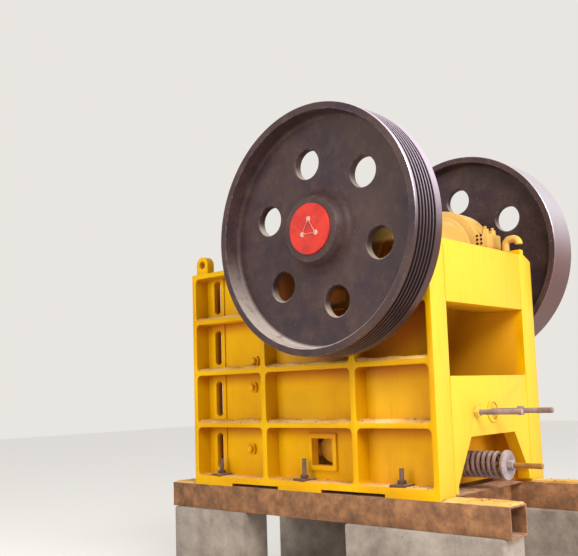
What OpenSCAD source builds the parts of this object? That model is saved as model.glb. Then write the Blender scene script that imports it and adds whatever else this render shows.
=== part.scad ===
// Single-toggle jaw crusher on steel base beams and four concrete piers.
// -X is the feed end, +X the spring end, -Y the side of the grooved wheel, +Z is up.
// The origin is the middle of the floor under the piers. All sizes are millimetres.
// In the frame's own terms u runs from the feed end of the plates, w from their feet.

/* [Frame] */
// Length of the side plates, feed end to spring end
plate_len = 2440; // [2360:10:2560]
// Height of the side plates, foot pads included
plate_h = 1800; // [1770:10:1860]
// Thickness of the web of a side plate
web_t = 60; // [45:5:75]
// Depth of the stiffening ribs outside a web
rib_depth = 140; // [120:5:150]
// Thickness of the level ribs
rib_t = 35; // [25:5:45]
// Thickness of the upright ribs
post_t = 48; // [36:2:60]
// Thickness of the flanges at both ends of a side plate
end_flange_t = 44; // [36:2:60]
// Thickness of the top flange
top_flange_t = 40; // [30:5:50]
// Thickness of the foot flange
foot_flange_t = 50; // [40:5:60]
// Height of the pads under the foot flange
pad_h = 25; // [15:5:35]
// Length of the pad under the middle of a side plate
mid_pad_len = 440; // [400:10:500]
// Length of the pad under each end of a side plate
end_pad_len = 450; // [400:10:500]
// Distance of the middle pad from the middle of the plate, towards the feed end
mid_pad_shift = 35; // [0:5:60]
// Width of the slope on the top corner of the rear end flange
shoulder_w = 100; // [60:5:120]
// Height of that slope
shoulder_h = 45; // [20:5:60]
// Underside of the lowest level rib
first_rib_w = 480; // [460:5:500]
// Rise from one level rib to the next
rib_pitch = 440; // [425:5:445]
// Middle of the first upright rib from the feed end
post_1_u = 835; // [800:5:860]
// Middle of the second upright rib from the spring end
post_2_in = 700; // [640:5:720]
// Radius in the corners of the pockets between the ribs
pocket_r = 40; // [20:5:50]

/* [Frame openings] */
// Middle of the upright slots from the feed end
slot_u = 183; // [170:1:190]
// Width of a slot
slot_w = 78; // [60:2:90]
// Length of a slot
slot_len = 300; // [260:10:310]
// Height of the middle of the lowest slot
slot_first_w = 277; // [270:1:285]
// Width of the raised band round the slots
slot_band_w = 160; // [140:5:180]
// Height of the raised band above the web
slot_band_t = 12; // [6:1:20]
// Middle of the square window from the spring end
window_in = 1114; // [1090:1:1140]
// Height of the middle of the window
window_w = 291; // [280:1:300]
// Width and height of the window
window_size = 205; // [180:5:225]
// Width and height of the raised frame round the window
window_boss = 280; // [260:5:300]
// Height of that frame above the web
window_boss_t = 20; // [15:5:40]

/* [Crushing chamber] */
// Width of the feed opening, between the cheek plates
gape_w = 1060; // [1000:10:1100]
// Distance of the moving jaw's face, at its top, from the shaft
jaw_to_shaft = 550; // [520:5:570]
// Discharge setting between the jaw faces at the bottom
setting = 110; // [90:5:130]
// Height of the bottom of the jaw faces
jaw_bottom_w = 330; // [310:5:350]
// Height of the top of the jaw faces
jaw_top_w = 1750; // [1735:5:1765]
// Thickness of a jaw plate over its teeth
jaw_plate_t = 100; // [90:5:110]
// Depth of the teeth of a jaw plate
tooth_depth = 28; // [18:1:34]
// Distance between two teeth
tooth_pitch = 84; // [70:1:100]
// Thickness of a cheek plate
cheek_t = 40; // [30:5:50]
// Depth of the ribs in front of the front wall
front_rib_d = 250; // [235:5:260]
// Thickness of the plate behind the fixed jaw plate
front_back_t = 70; // [60:5:80]
// Number of upright ribs on the front wall
front_posts = 5; // [4:1:6]
// Distance that a cheek plate reaches behind the moving jaw's face
cheek_behind = 90; // [60:5:110]
// Distance that it reaches below the jaw faces
cheek_below = 30; // [10:5:50]
// Thickness of the wedge bar over the moving jaw plate
wedge_t = 70; // [50:5:80]
// Height of that bar
wedge_h = 80; // [60:5:95]

/* [Rear of the frame] */
// Underside of the rear crossbeam
crossbeam_w = 1350; // [1330:5:1370]
// Depth of the rear crossbeam along X
crossbeam_d = 300; // [260:10:310]
// Thickness of the plates of the rear crossbeam
crossbeam_t = 60; // [50:5:70]
// Thickness of the rear wall
rear_wall_t = 100; // [80:5:110]
// Top edge of the rear wall
rear_wall_top_w = 830; // [810:5:850]
// Top edge of the spring opening
spring_gap_top_w = 400; // [390:5:405]
// Width of the spring opening along its top edge
spring_gap_top = 650; // [600:10:700]
// Width of the spring opening at the bottom
spring_gap_bottom = 1054; // [1000:2:1060]
// Height where its slanted sides end
spring_gap_knee_w = 80; // [60:5:120]
// Outside diameter of the round boss on the rear wall
boss_d = 168; // [150:2:180]
// Width of the ring of that boss
boss_ring = 20; // [14:1:30]
// Height of that ring
boss_t = 10; // [6:1:14]
// Thickness of the shelf under the toggle seat
shelf_t = 60; // [50:5:70]
// Length of the shelf in front of the rear wall
shelf_len = 640; // [600:10:660]
// Length of the toggle seat on the shelf
toggle_seat_len = 380; // [360:5:420]
// Distance that the seat reaches past each side of the toggle plate
toggle_seat_past = 45; // [20:5:70]
// Thickness of the plate that the tension spring pulls against
spring_plate_t = 40; // [30:5:50]
// Gap from that plate to the inside of the rear wall
spring_plate_gap = 200; // [190:5:215]

/* [Wheels and shaft] */
// Distance of the shaft from the spring end of the plates
shaft_in = 720; // [700:5:740]
// Height of the shaft above the top of the side plates
shaft_rise = 100; // [90:5:110]
// Throw of the eccentric
throw = 15; // [10:1:17]
// Diameter of both wheels
wheel_d = 1810; // [1750:10:1830]
// Width of the rims
rim_w = 320; // [300:5:330]
// Thickness of the rims
rim_t = 55; // [50:1:65]
// Gap from the side frame to the rims
rim_gap = 90; // [80:5:100]
// Thickness of the webs of the wheels
wheel_web_t = 70; // [60:5:80]
// Set-back of a web from the outer edge of its rim
web_setback = 145; // [130:5:155]
// Number of holes in a wheel
wheel_holes = 6; // [5:1:8]
// Diameter of these holes
wheel_hole_d = 224; // [200:4:240]
// Radius of the circle on which they lie
wheel_hole_r = 532; // [520:4:552]
// Angle of the first hole in the grooved wheel
near_phase = 43; // [0:1:59]
// Angle of the first hole in the plain wheel
far_phase = 34; // [0:1:59]
// Number of belt grooves
grooves = 6; // [4:1:6]
// Distance between two belt grooves
groove_pitch = 37; // [35:1:40]
// Depth of a belt groove
groove_depth = 30; // [22:1:34]
// Distance of the first groove from the outer edge of the rim
groove_margin = 25; // [15:1:40]
// Diameter of a hub at its outer face
hub_d = 480; // [460:5:500]
// Diameter of a hub at the web
hub_root_d = 560; // [530:5:580]
// Radius of the corner between hub and web
hub_fillet = 56; // [30:2:70]
// Radius of the corner between web and rim
rim_fillet = 30; // [15:1:40]
// Set-back of the hub face from the outer edge of the rim
hub_setback = 20; // [18:1:40]
// Diameter of the red cap on the shaft end
cap_d = 370; // [340:5:400]
// Thickness of that cap
cap_t = 14; // [10:1:16]
// Gap from the bearing covers to the hubs
hub_gap = 20; // [15:1:30]
// Diameter of the shaft in the main bearings
journal_d = 280; // [270:2:290]
// Diameter of the shaft in the hubs
hub_seat_d = 260; // [240:2:266]
// Diameter of the eccentric part of the shaft
eccentric_d = 340; // [330:2:350]

/* [Main bearings] */
// Outer radius of the main bearing housings
housing_r = 370; // [350:5:380]
// Depth of the housings along the shaft
housing_d = 230; // [215:5:235]
// Half length of the bolting feet of the housings
foot_half = 455; // [430:5:480]
// Thickness of the feet of the bearing caps
cap_foot_t = 118; // [100:2:130]
// Thickness of the round covers on the housings
cover_t = 15; // [10:1:18]
// Outer radius of these covers
cover_r = 265; // [245:5:280]

/* [Swing jaw] */
// Clearance between the swing jaw and the cheek plates
swing_gap = 15; // [10:1:20]
// Radius of the barrel round the eccentric
barrel_r = 300; // [290:5:310]
// Radius of the end covers of the barrel
barrel_cover_r = 330; // [320:5:335]
// Thickness of the end covers of the barrel
barrel_cover_t = 30; // [20:2:40]
// Thickness of the front slab of the swing jaw
slab_t = 110; // [95:5:125]
// Thickness of the ribs of the swing jaw
swing_rib_t = 50; // [40:5:60]
// Distance of the toggle's front end from the feed end
toggle_front_u = 1180; // [1165:5:1190]
// Height of the toggle's front end
toggle_front_w = 430; // [420:5:440]
// Distance of the toggle's rear end from the spring end
toggle_rear_in = 640; // [625:5:650]
// Height of the toggle's rear end
toggle_rear_w = 570; // [560:5:580]
// Diameter of the round ends of the toggle plate
toggle_end_d = 90; // [80:2:100]
// Thickness of the toggle plate between its ends
toggle_t = 56; // [40:2:60]
// Width of the toggle plate
toggle_w = 760; // [700:10:800]
// Free space round the toggle in the swing jaw, past the throw
toggle_free = 6; // [5:0.5:8]
// Height of the toe of the swing jaw above the toggle's front end
toe_rise = 130; // [110:5:150]
// Depth of the toe below the toggle's front end
toe_drop = 160; // [130:5:180]
// Length of the front slab below the jaw plate
slab_below = 60; // [40:5:80]
// Length of the front slab above the jaw plate
slab_above = 110; // [100:5:130]
// Distance of the inner ribs of the swing jaw from the middle
inner_rib_y = 180; // [150:5:220]
// Depth of the lip that carries the moving jaw plate
lip = 55; // [40:5:65]
// Radius of the round bosses at the sides of the toe
toe_boss_r = 130; // [100:5:135]
// Distance of these bosses behind the toggle's front end
toe_boss_back = 150; // [120:5:170]
// Depth of these bosses below the toggle's front end
toe_boss_drop = 100; // [90:5:120]
// Length of these bosses along Y
toe_boss_len = 112; // [100:2:120]
// Thickness of the arms that carry them
toe_arm_t = 40; // [30:5:60]

/* [Spring and screws] */
// Height of the tension rod
rod_w = 178; // [172:1:186]
// Diameter of the tension rod
rod_d = 40; // [36:1:44]
// Length of the rod behind the frame
rod_out = 367; // [340:1:380]
// Distance of the rod's cross pin from the feed end
rod_pin_u = 1000; // [980:5:1020]
// Diameter of that pin
rod_pin_d = 50; // [44:2:56]
// Length of that pin
rod_pin_len = 200; // [180:5:220]
// Radius of the ears of the swing jaw round that pin
ear_r = 58; // [50:1:64]
// Distance of the ears from the middle
ear_y = 36; // [30:1:44]
// Thickness of an ear
ear_t = 60; // [44:2:64]
// Height of the nut on the rod
rod_nut_t = 45; // [36:1:50]
// Distance of the spring washer behind the frame
washer_out = 84; // [70:1:100]
// Diameter of the spring washer
washer_d = 216; // [206:2:220]
// Thickness of the spring washer
washer_t = 20; // [14:1:24]
// Outer diameter of the tension spring
spring_d = 200; // [190:2:204]
// Diameter of the spring's wire
spring_wire_d = 30; // [24:1:32]
// Number of turns of the spring
spring_turns = 7; // [6:1:8]
// Diameter of the adjusting screws
screw_d = 40; // [34:1:44]
// Distance of the near adjusting screw from the middle
screw_y = 246; // [230:1:260]
// Length of that screw behind the frame
screw_out = 360; // [340:1:380]
// Length of the middle screw behind the frame
middle_screw_out = 470; // [440:5:480]
// Distance of the nut on the middle screw behind the frame
middle_nut_out = 206; // [180:2:230]
// Height of the nuts on these screws
screw_nut_t = 36; // [28:1:42]

/* [Lifting points] */
// Distance of the middle of a lifting lug from the feed end
lug_u = 84; // [76:1:100]
// Width of a lifting lug
lug_w = 144; // [130:2:152]
// Height of a lifting lug
lug_h = 160; // [145:5:180]
// Thickness of a lifting lug
lug_t = 77; // [60:1:90]
// Distance of a lifting lug from the inside of the web outwards
lug_past_web = 20; // [10:1:30]
// Diameter of the hole in a lifting lug
lug_hole_d = 70; // [60:1:76]
// Distance of the rear hooks from the spring end
hook_in = 167; // [160:1:176]
// Thickness of the bar of a hook
hook_bar_d = 62; // [50:2:66]
// Radius of the bends of a hook, at the middle of its bar
hook_bend_r = 50; // [46:1:56]
// Height of the upright part of a hook
hook_shank = 104; // [85:1:112]
// Length of the level part of a hook
hook_reach = 19; // [12:1:26]
// Length of the blocks on the side plates beside the hooks
block_len = 120; // [100:5:140]
// Width of these blocks
block_w = 55; // [45:5:65]
// Height of these blocks
block_h = 43; // [30:1:50]
// Distance of these blocks from the inside of the web outwards
block_past_web = -30; // [-40:5:-20]

/* [Base] */
// Length of the base beams in front of the frame
beam_front = 300; // [300:5:340]
// Length of the base beams behind the frame
beam_rear = 500; // [500:5:540]
// Height of the base beams
beam_h = 200; // [180:5:220]
// Width of the base beams
beam_w = 220; // [200:5:230]
// Wall thickness of the base beams
beam_t = 12; // [8:1:16]
// Width of the flanges of the cross beams
cross_w = 200; // [180:5:220]
// Set-back of the cross beams from the ends of the frame
cross_in = 80; // [60:5:100]
// Height of the concrete piers
pier_h = 700; // [500:10:900]
// Length of the piers under the feed end
front_pier_len = 850; // [800:10:900]
// Length of the piers under the spring end
rear_pier_len = 1260; // [1200:10:1300]
// Distance of the front piers from the front ends of the beams
front_pier_in = 50; // [20:5:80]
// Distance of the rear piers from the rear ends of the beams
rear_pier_in = 40; // [20:5:80]
// Width of the piers
pier_w = 280; // [260:5:300]

/* [Hidden] */
$fn = 96;
yellow = "#f2c40c";
iron = "#2e2b30";
steel = "#7d6a5c";
rust = "#7a4a2e";
concrete = "#8d8278";

near = -1;
far = 1;
seat = 0.3; // gap where a turned or loose piece is seated
jaw_side_gap = 2; // gap beside the fixed jaw plate
run_fit = 0.06; // radial gap of a running fit
cut = 1; // how far a cutter reaches past a face

base_len = beam_front + plate_len + beam_rear;
feed_x = beam_front - base_len / 2;
foot_z = pier_h + beam_h;

inner_y = gape_w / 2 + cheek_t;
web_y = inner_y + web_t;
side_y = web_y + rib_depth;
top_w = plate_h;
shaft_w = top_w + shaft_rise;
floor_w = pad_h + foot_flange_t;

rim_y = side_y + rim_gap;
rim_out_y = rim_y + rim_w;
wheel_web_out_y = rim_out_y - web_setback;
wheel_web_in_y = wheel_web_out_y - wheel_web_t;
hub_out_y = rim_out_y - hub_setback;
housing_out_y = inner_y + housing_d;
hub_in_y = housing_out_y + cover_t + hub_gap;

shaft_u = plate_len - shaft_in;
post_2_u = plate_len - post_2_in;
window_u = plate_len - window_in;
toggle_rear_u = plate_len - toggle_rear_in;
fixed_face_u = front_rib_d + front_back_t + jaw_plate_t;
// The moving jaw's face line, its direction up the face, and the way square to it, rearward.
// The depth of the feed opening is what the shaft's place leaves, 750 mm here.
face_low = [fixed_face_u + setting, jaw_bottom_w];
face_high = [shaft_u - jaw_to_shaft, jaw_top_w];
face_len = norm(face_high - face_low);
face_up = (face_high - face_low) / face_len;
face_back = [face_up[1], -face_up[0]];
face_lean = atan2(face_up[0], face_up[1]);
back_low = face_low + jaw_plate_t * face_back;
back_high = face_high + jaw_plate_t * face_back;
jaw_teeth = floor(gape_w / tooth_pitch);

swing_half = gape_w / 2 - swing_gap;
barrel_at = [shaft_u, shaft_w - throw];
barrel_half = swing_half - barrel_cover_t;
toggle_front = [toggle_front_u, toggle_front_w];
toggle_rear = [toggle_rear_u, toggle_rear_w];
toggle_socket_r = toggle_end_d / 2 + throw + toggle_free;
toe_top_w = toggle_front_w + toe_rise;
toe_bottom_w = toggle_front_w - toe_drop;
wall_front_u = plate_len - rear_wall_t;
spring_plate_u = wall_front_u - spring_plate_gap;
washer_u = plate_len + washer_out;
spring_from_u = spring_plate_u + throw + 6;
rod_hole_r = rod_d / 2 + throw + 6;
lug_y = web_y + lug_past_web;
block_y = web_y + block_past_web;

// Places a drawing of the frame, u along X and w along Z, in the part's own axes
module in_frame() { translate([feed_x, 0, foot_z]) children(); }

// Extrudes a u-w outline from one distance off the middle plane to another
module across(from_y, to_y) {
    translate([0, to_y, 0]) rotate([90, 0, 0]) linear_extrude(to_y - from_y) children();
}

// Turns a solid that is drawn along Z to lie along +Y
module along_y() { rotate([-90, 0, 0]) children(); }

// Turns a solid that is drawn along Z to lie along +X
module along_x() { rotate([0, 90, 0]) children(); }

// Puts what is drawn for the far side on one side
module on_side(side) {
    if (side == far) children();
    else mirror([0, 1, 0]) children();
}

// A plate between two corners of the u-w plane
module panel(u0, w0, u1, w1) { translate([u0, w0]) square([u1 - u0, w1 - w0]); }

// The same with round corners, from a cross of two plates and four discs
module pocket(u0, w0, u1, w1, r) {
    panel(u0 + r, w0, u1 - r, w1);
    panel(u0, w0 + r, u1, w1 - r);
    for (u = [u0 + r, u1 - r], w = [w0 + r, w1 - r]) translate([u, w]) circle(r, $fn = 32);
}

// An upright slot with round ends
module stadium(width, length) {
    square([width, length - width], center = true);
    for (s = [-1, 1]) translate([0, s * (length - width) / 2]) circle(width / 2, $fn = 32);
}

// Heights of the four rows of pockets, as pairs of lower and upper edge
row_low = [floor_w, for (i = [0:2]) first_rib_w + i * rib_pitch + rib_t];
row_high = [for (i = [0:2]) first_rib_w + i * rib_pitch, top_w - top_flange_t];
// The three columns of pockets, likewise
col_low = [end_flange_t, post_1_u + post_t / 2, post_2_u + post_t / 2];
col_high = [post_1_u - post_t / 2, post_2_u - post_t / 2, plate_len - end_flange_t];

module plate_outline() {
    difference() {
        panel(0, pad_h, plate_len, top_w);
        translate([shaft_u, shaft_w]) circle(housing_r + seat);
    }
}

module rib_outline() {
    difference() {
        union() {
            difference() {
                plate_outline();
                for (c = [0:2], r = [0:3])
                    pocket(col_low[c], row_low[r], col_high[c], row_high[r], pocket_r);
            }
            intersection() {
                plate_outline();
                translate([shaft_u, shaft_w]) circle(housing_r + rib_t);
            }
        }
        translate([shaft_u, shaft_w]) circle(housing_r + seat);
    }
}

module slots() {
    for (i = [0:3]) translate([slot_u, slot_first_w + i * rib_pitch]) stadium(slot_w, slot_len);
}

module window_hole() { translate([window_u, window_w]) square(window_size, center = true); }

// Side frame of one side: web, ribs, flanges, pads, slots and window
module side_plate(side) {
    mid_pad_u = plate_len / 2 - mid_pad_shift;
    color(yellow) in_frame() on_side(side) difference() {
        union() {
            across(inner_y, web_y) plate_outline();
            across(web_y, side_y) rib_outline();
            across(web_y, web_y + slot_band_t) difference() {
                panel(slot_u - slot_band_w / 2, pad_h, slot_u + slot_band_w / 2, top_w);
                slots();
            }
            across(web_y, web_y + window_boss_t)
                translate([window_u, window_w]) square(window_boss, center = true);
            across(inner_y, side_y) {
                panel(0, 0, end_pad_len, pad_h);
                panel(mid_pad_u - mid_pad_len / 2, 0, mid_pad_u + mid_pad_len / 2, pad_h);
                panel(plate_len - end_pad_len, 0, plate_len, pad_h);
            }
            across(block_y, block_y + block_w)
                panel(plate_len - block_len, top_w - cut, plate_len, top_w + block_h);
        }
        across(inner_y - cut, web_y + window_boss_t + cut) { slots(); window_hole(); }
        // sloping shoulder on the rear end flange
        translate([plate_len - end_flange_t, 0, 0]) rotate([90, 0, 90])
            linear_extrude(end_flange_t + cut)
                polygon([[side_y - shoulder_w, top_w + cut], [side_y + cut, top_w + cut],
                         [side_y + cut, top_w - shoulder_h], [side_y, top_w - shoulder_h],
                         [side_y - shoulder_w, top_w]]);
    }
}

// Front wall: backing plate with a grid of ribs towards the feed end
module front_wall() {
    back_u = front_rib_d;
    spacing = 2 * inner_y / (front_posts + 1);
    color(yellow) in_frame() {
        across(-inner_y, inner_y) {
            panel(back_u, pad_h, back_u + front_back_t, top_w);
            panel(0, pad_h, back_u, floor_w);
            panel(0, top_w - top_flange_t, back_u, top_w);
            for (i = [0:2]) panel(0, row_high[i], back_u, row_low[i + 1]);
        }
        for (i = [1:front_posts]) {
            y = -inner_y + i * spacing;
            across(y - post_t / 2, y + post_t / 2) panel(0, floor_w, back_u, top_w - top_flange_t);
        }
    }
}

// Rear crossbeam: a channel open to the swing jaw, with cross ribs
module rear_crossbeam() {
    front_u = plate_len - crossbeam_d;
    color(yellow) in_frame() {
        across(-inner_y, inner_y) {
            panel(plate_len - crossbeam_t, crossbeam_w, plate_len, top_w);
            panel(front_u, crossbeam_w, plate_len, crossbeam_w + crossbeam_t);
            panel(front_u, top_w - crossbeam_t, plate_len, top_w);
        }
        for (y = [-inner_y / 3, inner_y / 3])
            across(y - rib_t / 2, y + rib_t / 2)
                panel(front_u, crossbeam_w, plate_len, top_w);
    }
}

// Outline of the rear wall in y and w, with the spring opening
module rear_wall_outline() {
    knee = spring_gap_bottom / 2;
    top = spring_gap_top / 2;
    difference() {
        translate([-inner_y, pad_h]) square([2 * inner_y, rear_wall_top_w - pad_h]);
        polygon([[-knee, pad_h - cut], [knee, pad_h - cut], [knee, spring_gap_knee_w],
                 [top, spring_gap_top_w], [-top, spring_gap_top_w], [-knee, spring_gap_knee_w]]);
    }
}

// Lower rear wall with its screw holes and round boss
module rear_wall() {
    color(yellow) in_frame() difference() {
        union() {
            translate([wall_front_u, 0, 0]) rotate([90, 0, 90])
                linear_extrude(rear_wall_t) rear_wall_outline();
            translate([plate_len, 0, toggle_rear_w]) along_x() cylinder(h = boss_t, d = boss_d);
        }
        translate([plate_len, 0, toggle_rear_w])
            along_x() cylinder(h = boss_t + cut, d = boss_d - 2 * boss_ring);
        for (y = [-screw_y, 0]) translate([wall_front_u - cut, y, toggle_rear_w])
            along_x() cylinder(h = rear_wall_t + 2 * cut, r = screw_d / 2 + seat);
    }
}

// Shelf between the side plates that the toggle seat slides on
module toggle_shelf() {
    color(yellow) in_frame() {
        across(-inner_y, inner_y)
            panel(wall_front_u - shelf_len, spring_gap_top_w, wall_front_u, spring_gap_top_w + shelf_t);
    }
}

// Upright plate under the shelf that takes the pull of the spring
module spring_plate() {
    hole_w = rod_w + throw;
    color(yellow) in_frame() difference() {
        across(-inner_y, inner_y)
            panel(spring_plate_u - spring_plate_t, pad_h, spring_plate_u, spring_gap_top_w);
        translate([spring_plate_u - spring_plate_t - cut, 0, hole_w])
            along_x() cylinder(h = spring_plate_t + 2 * cut, r = rod_hole_r);
    }
}

// Sliding block with the groove for the rear end of the toggle plate
module toggle_seat() {
    seat_half_y = toggle_w / 2 + toggle_seat_past;
    low_w = spring_gap_top_w + shelf_t;
    high_w = 2 * toggle_rear_w - low_w;
    color(steel) in_frame() across(-seat_half_y, seat_half_y) difference() {
        panel(toggle_rear_u, low_w, toggle_rear_u + toggle_seat_len, high_w);
        translate(toggle_rear) circle(toggle_end_d / 2 + seat);
    }
}

// Toggle plate: a flat plate with a round bar along each end
module toggle_plate() {
    span = toggle_rear - toggle_front;
    color(steel) in_frame() across(-toggle_w / 2, toggle_w / 2) {
        for (end = [toggle_front, toggle_rear]) translate(end) circle(toggle_end_d / 2);
        translate(toggle_front) rotate(atan2(span[1], span[0]))
            translate([0, -toggle_t / 2]) square([norm(span), toggle_t]);
    }
}

// The two screws that push the toggle seat forward, at the near side and in the middle.
// The near nut lies on the rear wall and the other one sits part of the way along its screw.
module adjusting_screws() {
    from_u = toggle_rear_u + toggle_seat_len;
    color(rust) in_frame() translate([0, 0, toggle_rear_w]) {
        translate([from_u, -screw_y, 0]) along_x()
            cylinder(h = plate_len + screw_out - from_u, d = screw_d);
        translate([plate_len, -screw_y, 0]) along_x()
            cylinder(h = screw_nut_t, d = 1.9 * screw_d, $fn = 6);
        translate([from_u, 0, 0]) along_x()
            cylinder(h = plate_len + middle_screw_out - from_u, d = screw_d);
        translate([plate_len + middle_nut_out, 0, 0]) along_x()
            cylinder(h = screw_nut_t, d = 1.9 * screw_d, $fn = 6);
    }
}

// Cross-section of a jaw plate: flat edges, and teeth that run up the plate.
// x is across the plate and y is its thickness.
module jaw_section(half_w, teeth, thick) {
    root = thick - tooth_depth;
    land = tooth_pitch * 0.11;
    flank = tooth_pitch * 0.28;
    row = [for (i = [0:teeth - 1]) let (mid = (i + 0.5 - teeth / 2) * tooth_pitch)
        each [[mid - land - flank, root], [mid - land, thick],
              [mid + land, thick], [mid + land + flank, root]]];
    polygon(concat([[-half_w, root]], row, [[half_w, root], [half_w, 0], [-half_w, 0]]));
}

// Jaw plate bolted to the front wall
module fixed_jaw_plate() {
    color(steel) in_frame()
        translate([front_rib_d + front_back_t, 0, jaw_bottom_w]) rotate([0, 0, -90])
            linear_extrude(jaw_top_w - jaw_bottom_w)
                jaw_section(inner_y - jaw_side_gap, jaw_teeth, jaw_plate_t);
}

// Jaw plate on the leaning front of the swing jaw
module moving_jaw_plate() {
    color(steel) in_frame()
        translate([back_low[0], 0, back_low[1]]) rotate([0, face_lean, 0]) rotate([0, 0, 90])
            translate([0, seat, seat]) linear_extrude(face_len - seat)
                jaw_section(swing_half, jaw_teeth - 1, jaw_plate_t - seat);
}

// Wear plate on the inside of one side plate, from the fixed jaw to behind the moving one
module cheek_plate(side) {
    low = face_low + cheek_behind * face_back;
    high = face_high + cheek_behind * face_back;
    front_u = fixed_face_u - tooth_depth + seat;
    slope = (high[0] - low[0]) / (high[1] - low[1]);
    bottom_w = jaw_bottom_w - cheek_below;
    color(steel) in_frame() on_side(side) across(inner_y - cheek_t, inner_y)
        polygon([[front_u, bottom_w], [low[0] + (bottom_w - low[1]) * slope, bottom_w],
                 [low[0] + (jaw_top_w - low[1]) * slope, jaw_top_w], [front_u, jaw_top_w]]);
}

// Lower half of a main bearing housing, in its seat in the side plate
module bearing_housing(side) {
    color(yellow) in_frame() on_side(side) across(inner_y, housing_out_y) difference() {
        union() {
            intersection() {
                translate([shaft_u, shaft_w]) circle(housing_r);
                panel(shaft_u - housing_r, shaft_w - housing_r, shaft_u + housing_r, shaft_w);
            }
            panel(shaft_u - foot_half, top_w, shaft_u + foot_half, shaft_w);
        }
        translate([shaft_u, shaft_w]) circle(journal_d / 2 + run_fit);
    }
}

// Upper half of the housing, with its bolting feet
module bearing_cap(side) {
    color(yellow) in_frame() on_side(side) across(inner_y, housing_out_y) difference() {
        union() {
            intersection() {
                translate([shaft_u, shaft_w]) circle(housing_r);
                panel(shaft_u - housing_r, shaft_w, shaft_u + housing_r, shaft_w + housing_r);
            }
            panel(shaft_u - foot_half, shaft_w, shaft_u + foot_half, shaft_w + cap_foot_t);
        }
        translate([shaft_u, shaft_w]) circle(journal_d / 2 + run_fit);
    }
}

// Round cover on the outer face of a housing
module bearing_cover(side) {
    color(yellow) in_frame() on_side(side)
        translate([shaft_u, housing_out_y, shaft_w]) along_y() difference() {
            cylinder(h = cover_t, r = cover_r);
            translate([0, 0, -cut]) cylinder(h = cover_t + 2 * cut, r = journal_d / 2 + 6);
        }
}

// Lifting lug on the top flange at the feed end
module lifting_lug(side) {
    round_w = top_w + lug_h - lug_w / 2;
    color(yellow) in_frame() on_side(side) across(lug_y, lug_y + lug_t) difference() {
        union() {
            panel(lug_u - lug_w / 2, top_w, lug_u + lug_w / 2, round_w);
            translate([lug_u, round_w]) circle(lug_w / 2);
        }
        translate([lug_u, round_w]) circle(lug_hole_d / 2);
    }
}

// Quarter bend of a hook's bar, round the origin, from from_deg on
module hook_bend(from_deg) {
    rotate([90, 0, 0]) rotate([0, 0, from_deg]) rotate_extrude(angle = 90, $fn = 48)
        translate([hook_bend_r, 0]) circle(d = hook_bar_d, $fn = 32);
}

// Bent bar hook on the top flange at the spring end
module rear_hook(side) {
    color(yellow) in_frame() on_side(side)
        translate([plate_len - hook_in, lug_y + lug_t / 2, top_w]) {
            cylinder(h = hook_shank, d = hook_bar_d, $fn = 32);
            translate([hook_bend_r, 0, hook_shank]) hook_bend(90);
            translate([hook_bend_r, 0, hook_shank + hook_bend_r]) along_x()
                cylinder(h = hook_reach, d = hook_bar_d, $fn = 32);
            translate([hook_bend_r + hook_reach, 0, hook_shank]) hook_bend(0);
        }
}

// Closed box beam under one side frame
module base_beam(side) {
    color(rust) on_side(side) translate([-base_len / 2, side_y - beam_w, pier_h]) rotate([90, 0, 90])
        linear_extrude(base_len) difference() {
            square([beam_w, beam_h]);
            translate([beam_t, beam_t]) square([beam_w - 2 * beam_t, beam_h - 2 * beam_t]);
        }
}

// I-beam between the two base beams, with its feed-side edge at u
module cross_beam(u) {
    half = side_y - beam_w;
    color(rust) translate([feed_x, 0, pier_h]) across(-half, half) {
        panel(u, 0, u + cross_w, beam_t);
        panel(u, beam_h - beam_t, u + cross_w, beam_h);
        panel(u + (cross_w - beam_t) / 2, beam_t, u + (cross_w + beam_t) / 2, beam_h - beam_t);
    }
}

// Concrete pier under one end of a base beam
module pier(side, from_x, length) {
    mid_y = side_y - beam_w / 2;
    color(concrete) on_side(side)
        translate([from_x, mid_y - pier_w / 2, 0]) cube([length, pier_w, pier_h]);
}

module front_pier(side) { pier(side, front_pier_in - base_len / 2, front_pier_len); }

module rear_pier(side) {
    pier(side, base_len / 2 - rear_pier_in - rear_pier_len, rear_pier_len);
}

// Fills the inner corner at a point with a round of radius r; turn points it
module corner_fill(at, turn, r) {
    translate(at) rotate(turn) difference() {
        translate([-cut, -cut]) square(r + cut);
        translate([r, r]) circle(r, $fn = 32);
    }
}

// Half section of a wheel: x is the radius and y the distance from the middle plane
module wheel_section() {
    rim_r = wheel_d / 2;
    bore = hub_seat_d / 2 + seat;
    translate([rim_r - rim_t, rim_y]) square([rim_t, rim_w]);
    translate([hub_root_d / 2 - cut, wheel_web_in_y])
        square([rim_r - rim_t - hub_root_d / 2 + 2 * cut, wheel_web_t]);
    polygon([[bore, hub_in_y], [hub_d / 2, hub_in_y], [hub_root_d / 2, wheel_web_in_y],
             [hub_root_d / 2, wheel_web_out_y], [hub_d / 2, hub_out_y], [bore, hub_out_y]]);
    corner_fill([rim_r - rim_t, wheel_web_out_y], 90, rim_fillet);
    corner_fill([rim_r - rim_t, wheel_web_in_y], 180, rim_fillet);
    corner_fill([hub_root_d / 2, wheel_web_out_y], 0, hub_fillet);
    corner_fill([hub_root_d / 2, wheel_web_in_y], -90, hub_fillet);
}

// The V grooves, cut from the outer edge of the rim inwards
module groove_cuts() {
    rim_r = wheel_d / 2;
    half = groove_pitch * 0.41;
    root = groove_pitch * 0.2;
    for (i = [0:grooves - 1]) {
        y = rim_out_y - groove_margin - (i + 0.5) * groove_pitch;
        polygon([[rim_r + cut, y - half], [rim_r, y - half], [rim_r - groove_depth, y - root],
                 [rim_r - groove_depth, y + root], [rim_r, y + half], [rim_r + cut, y + half]]);
    }
}

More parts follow.
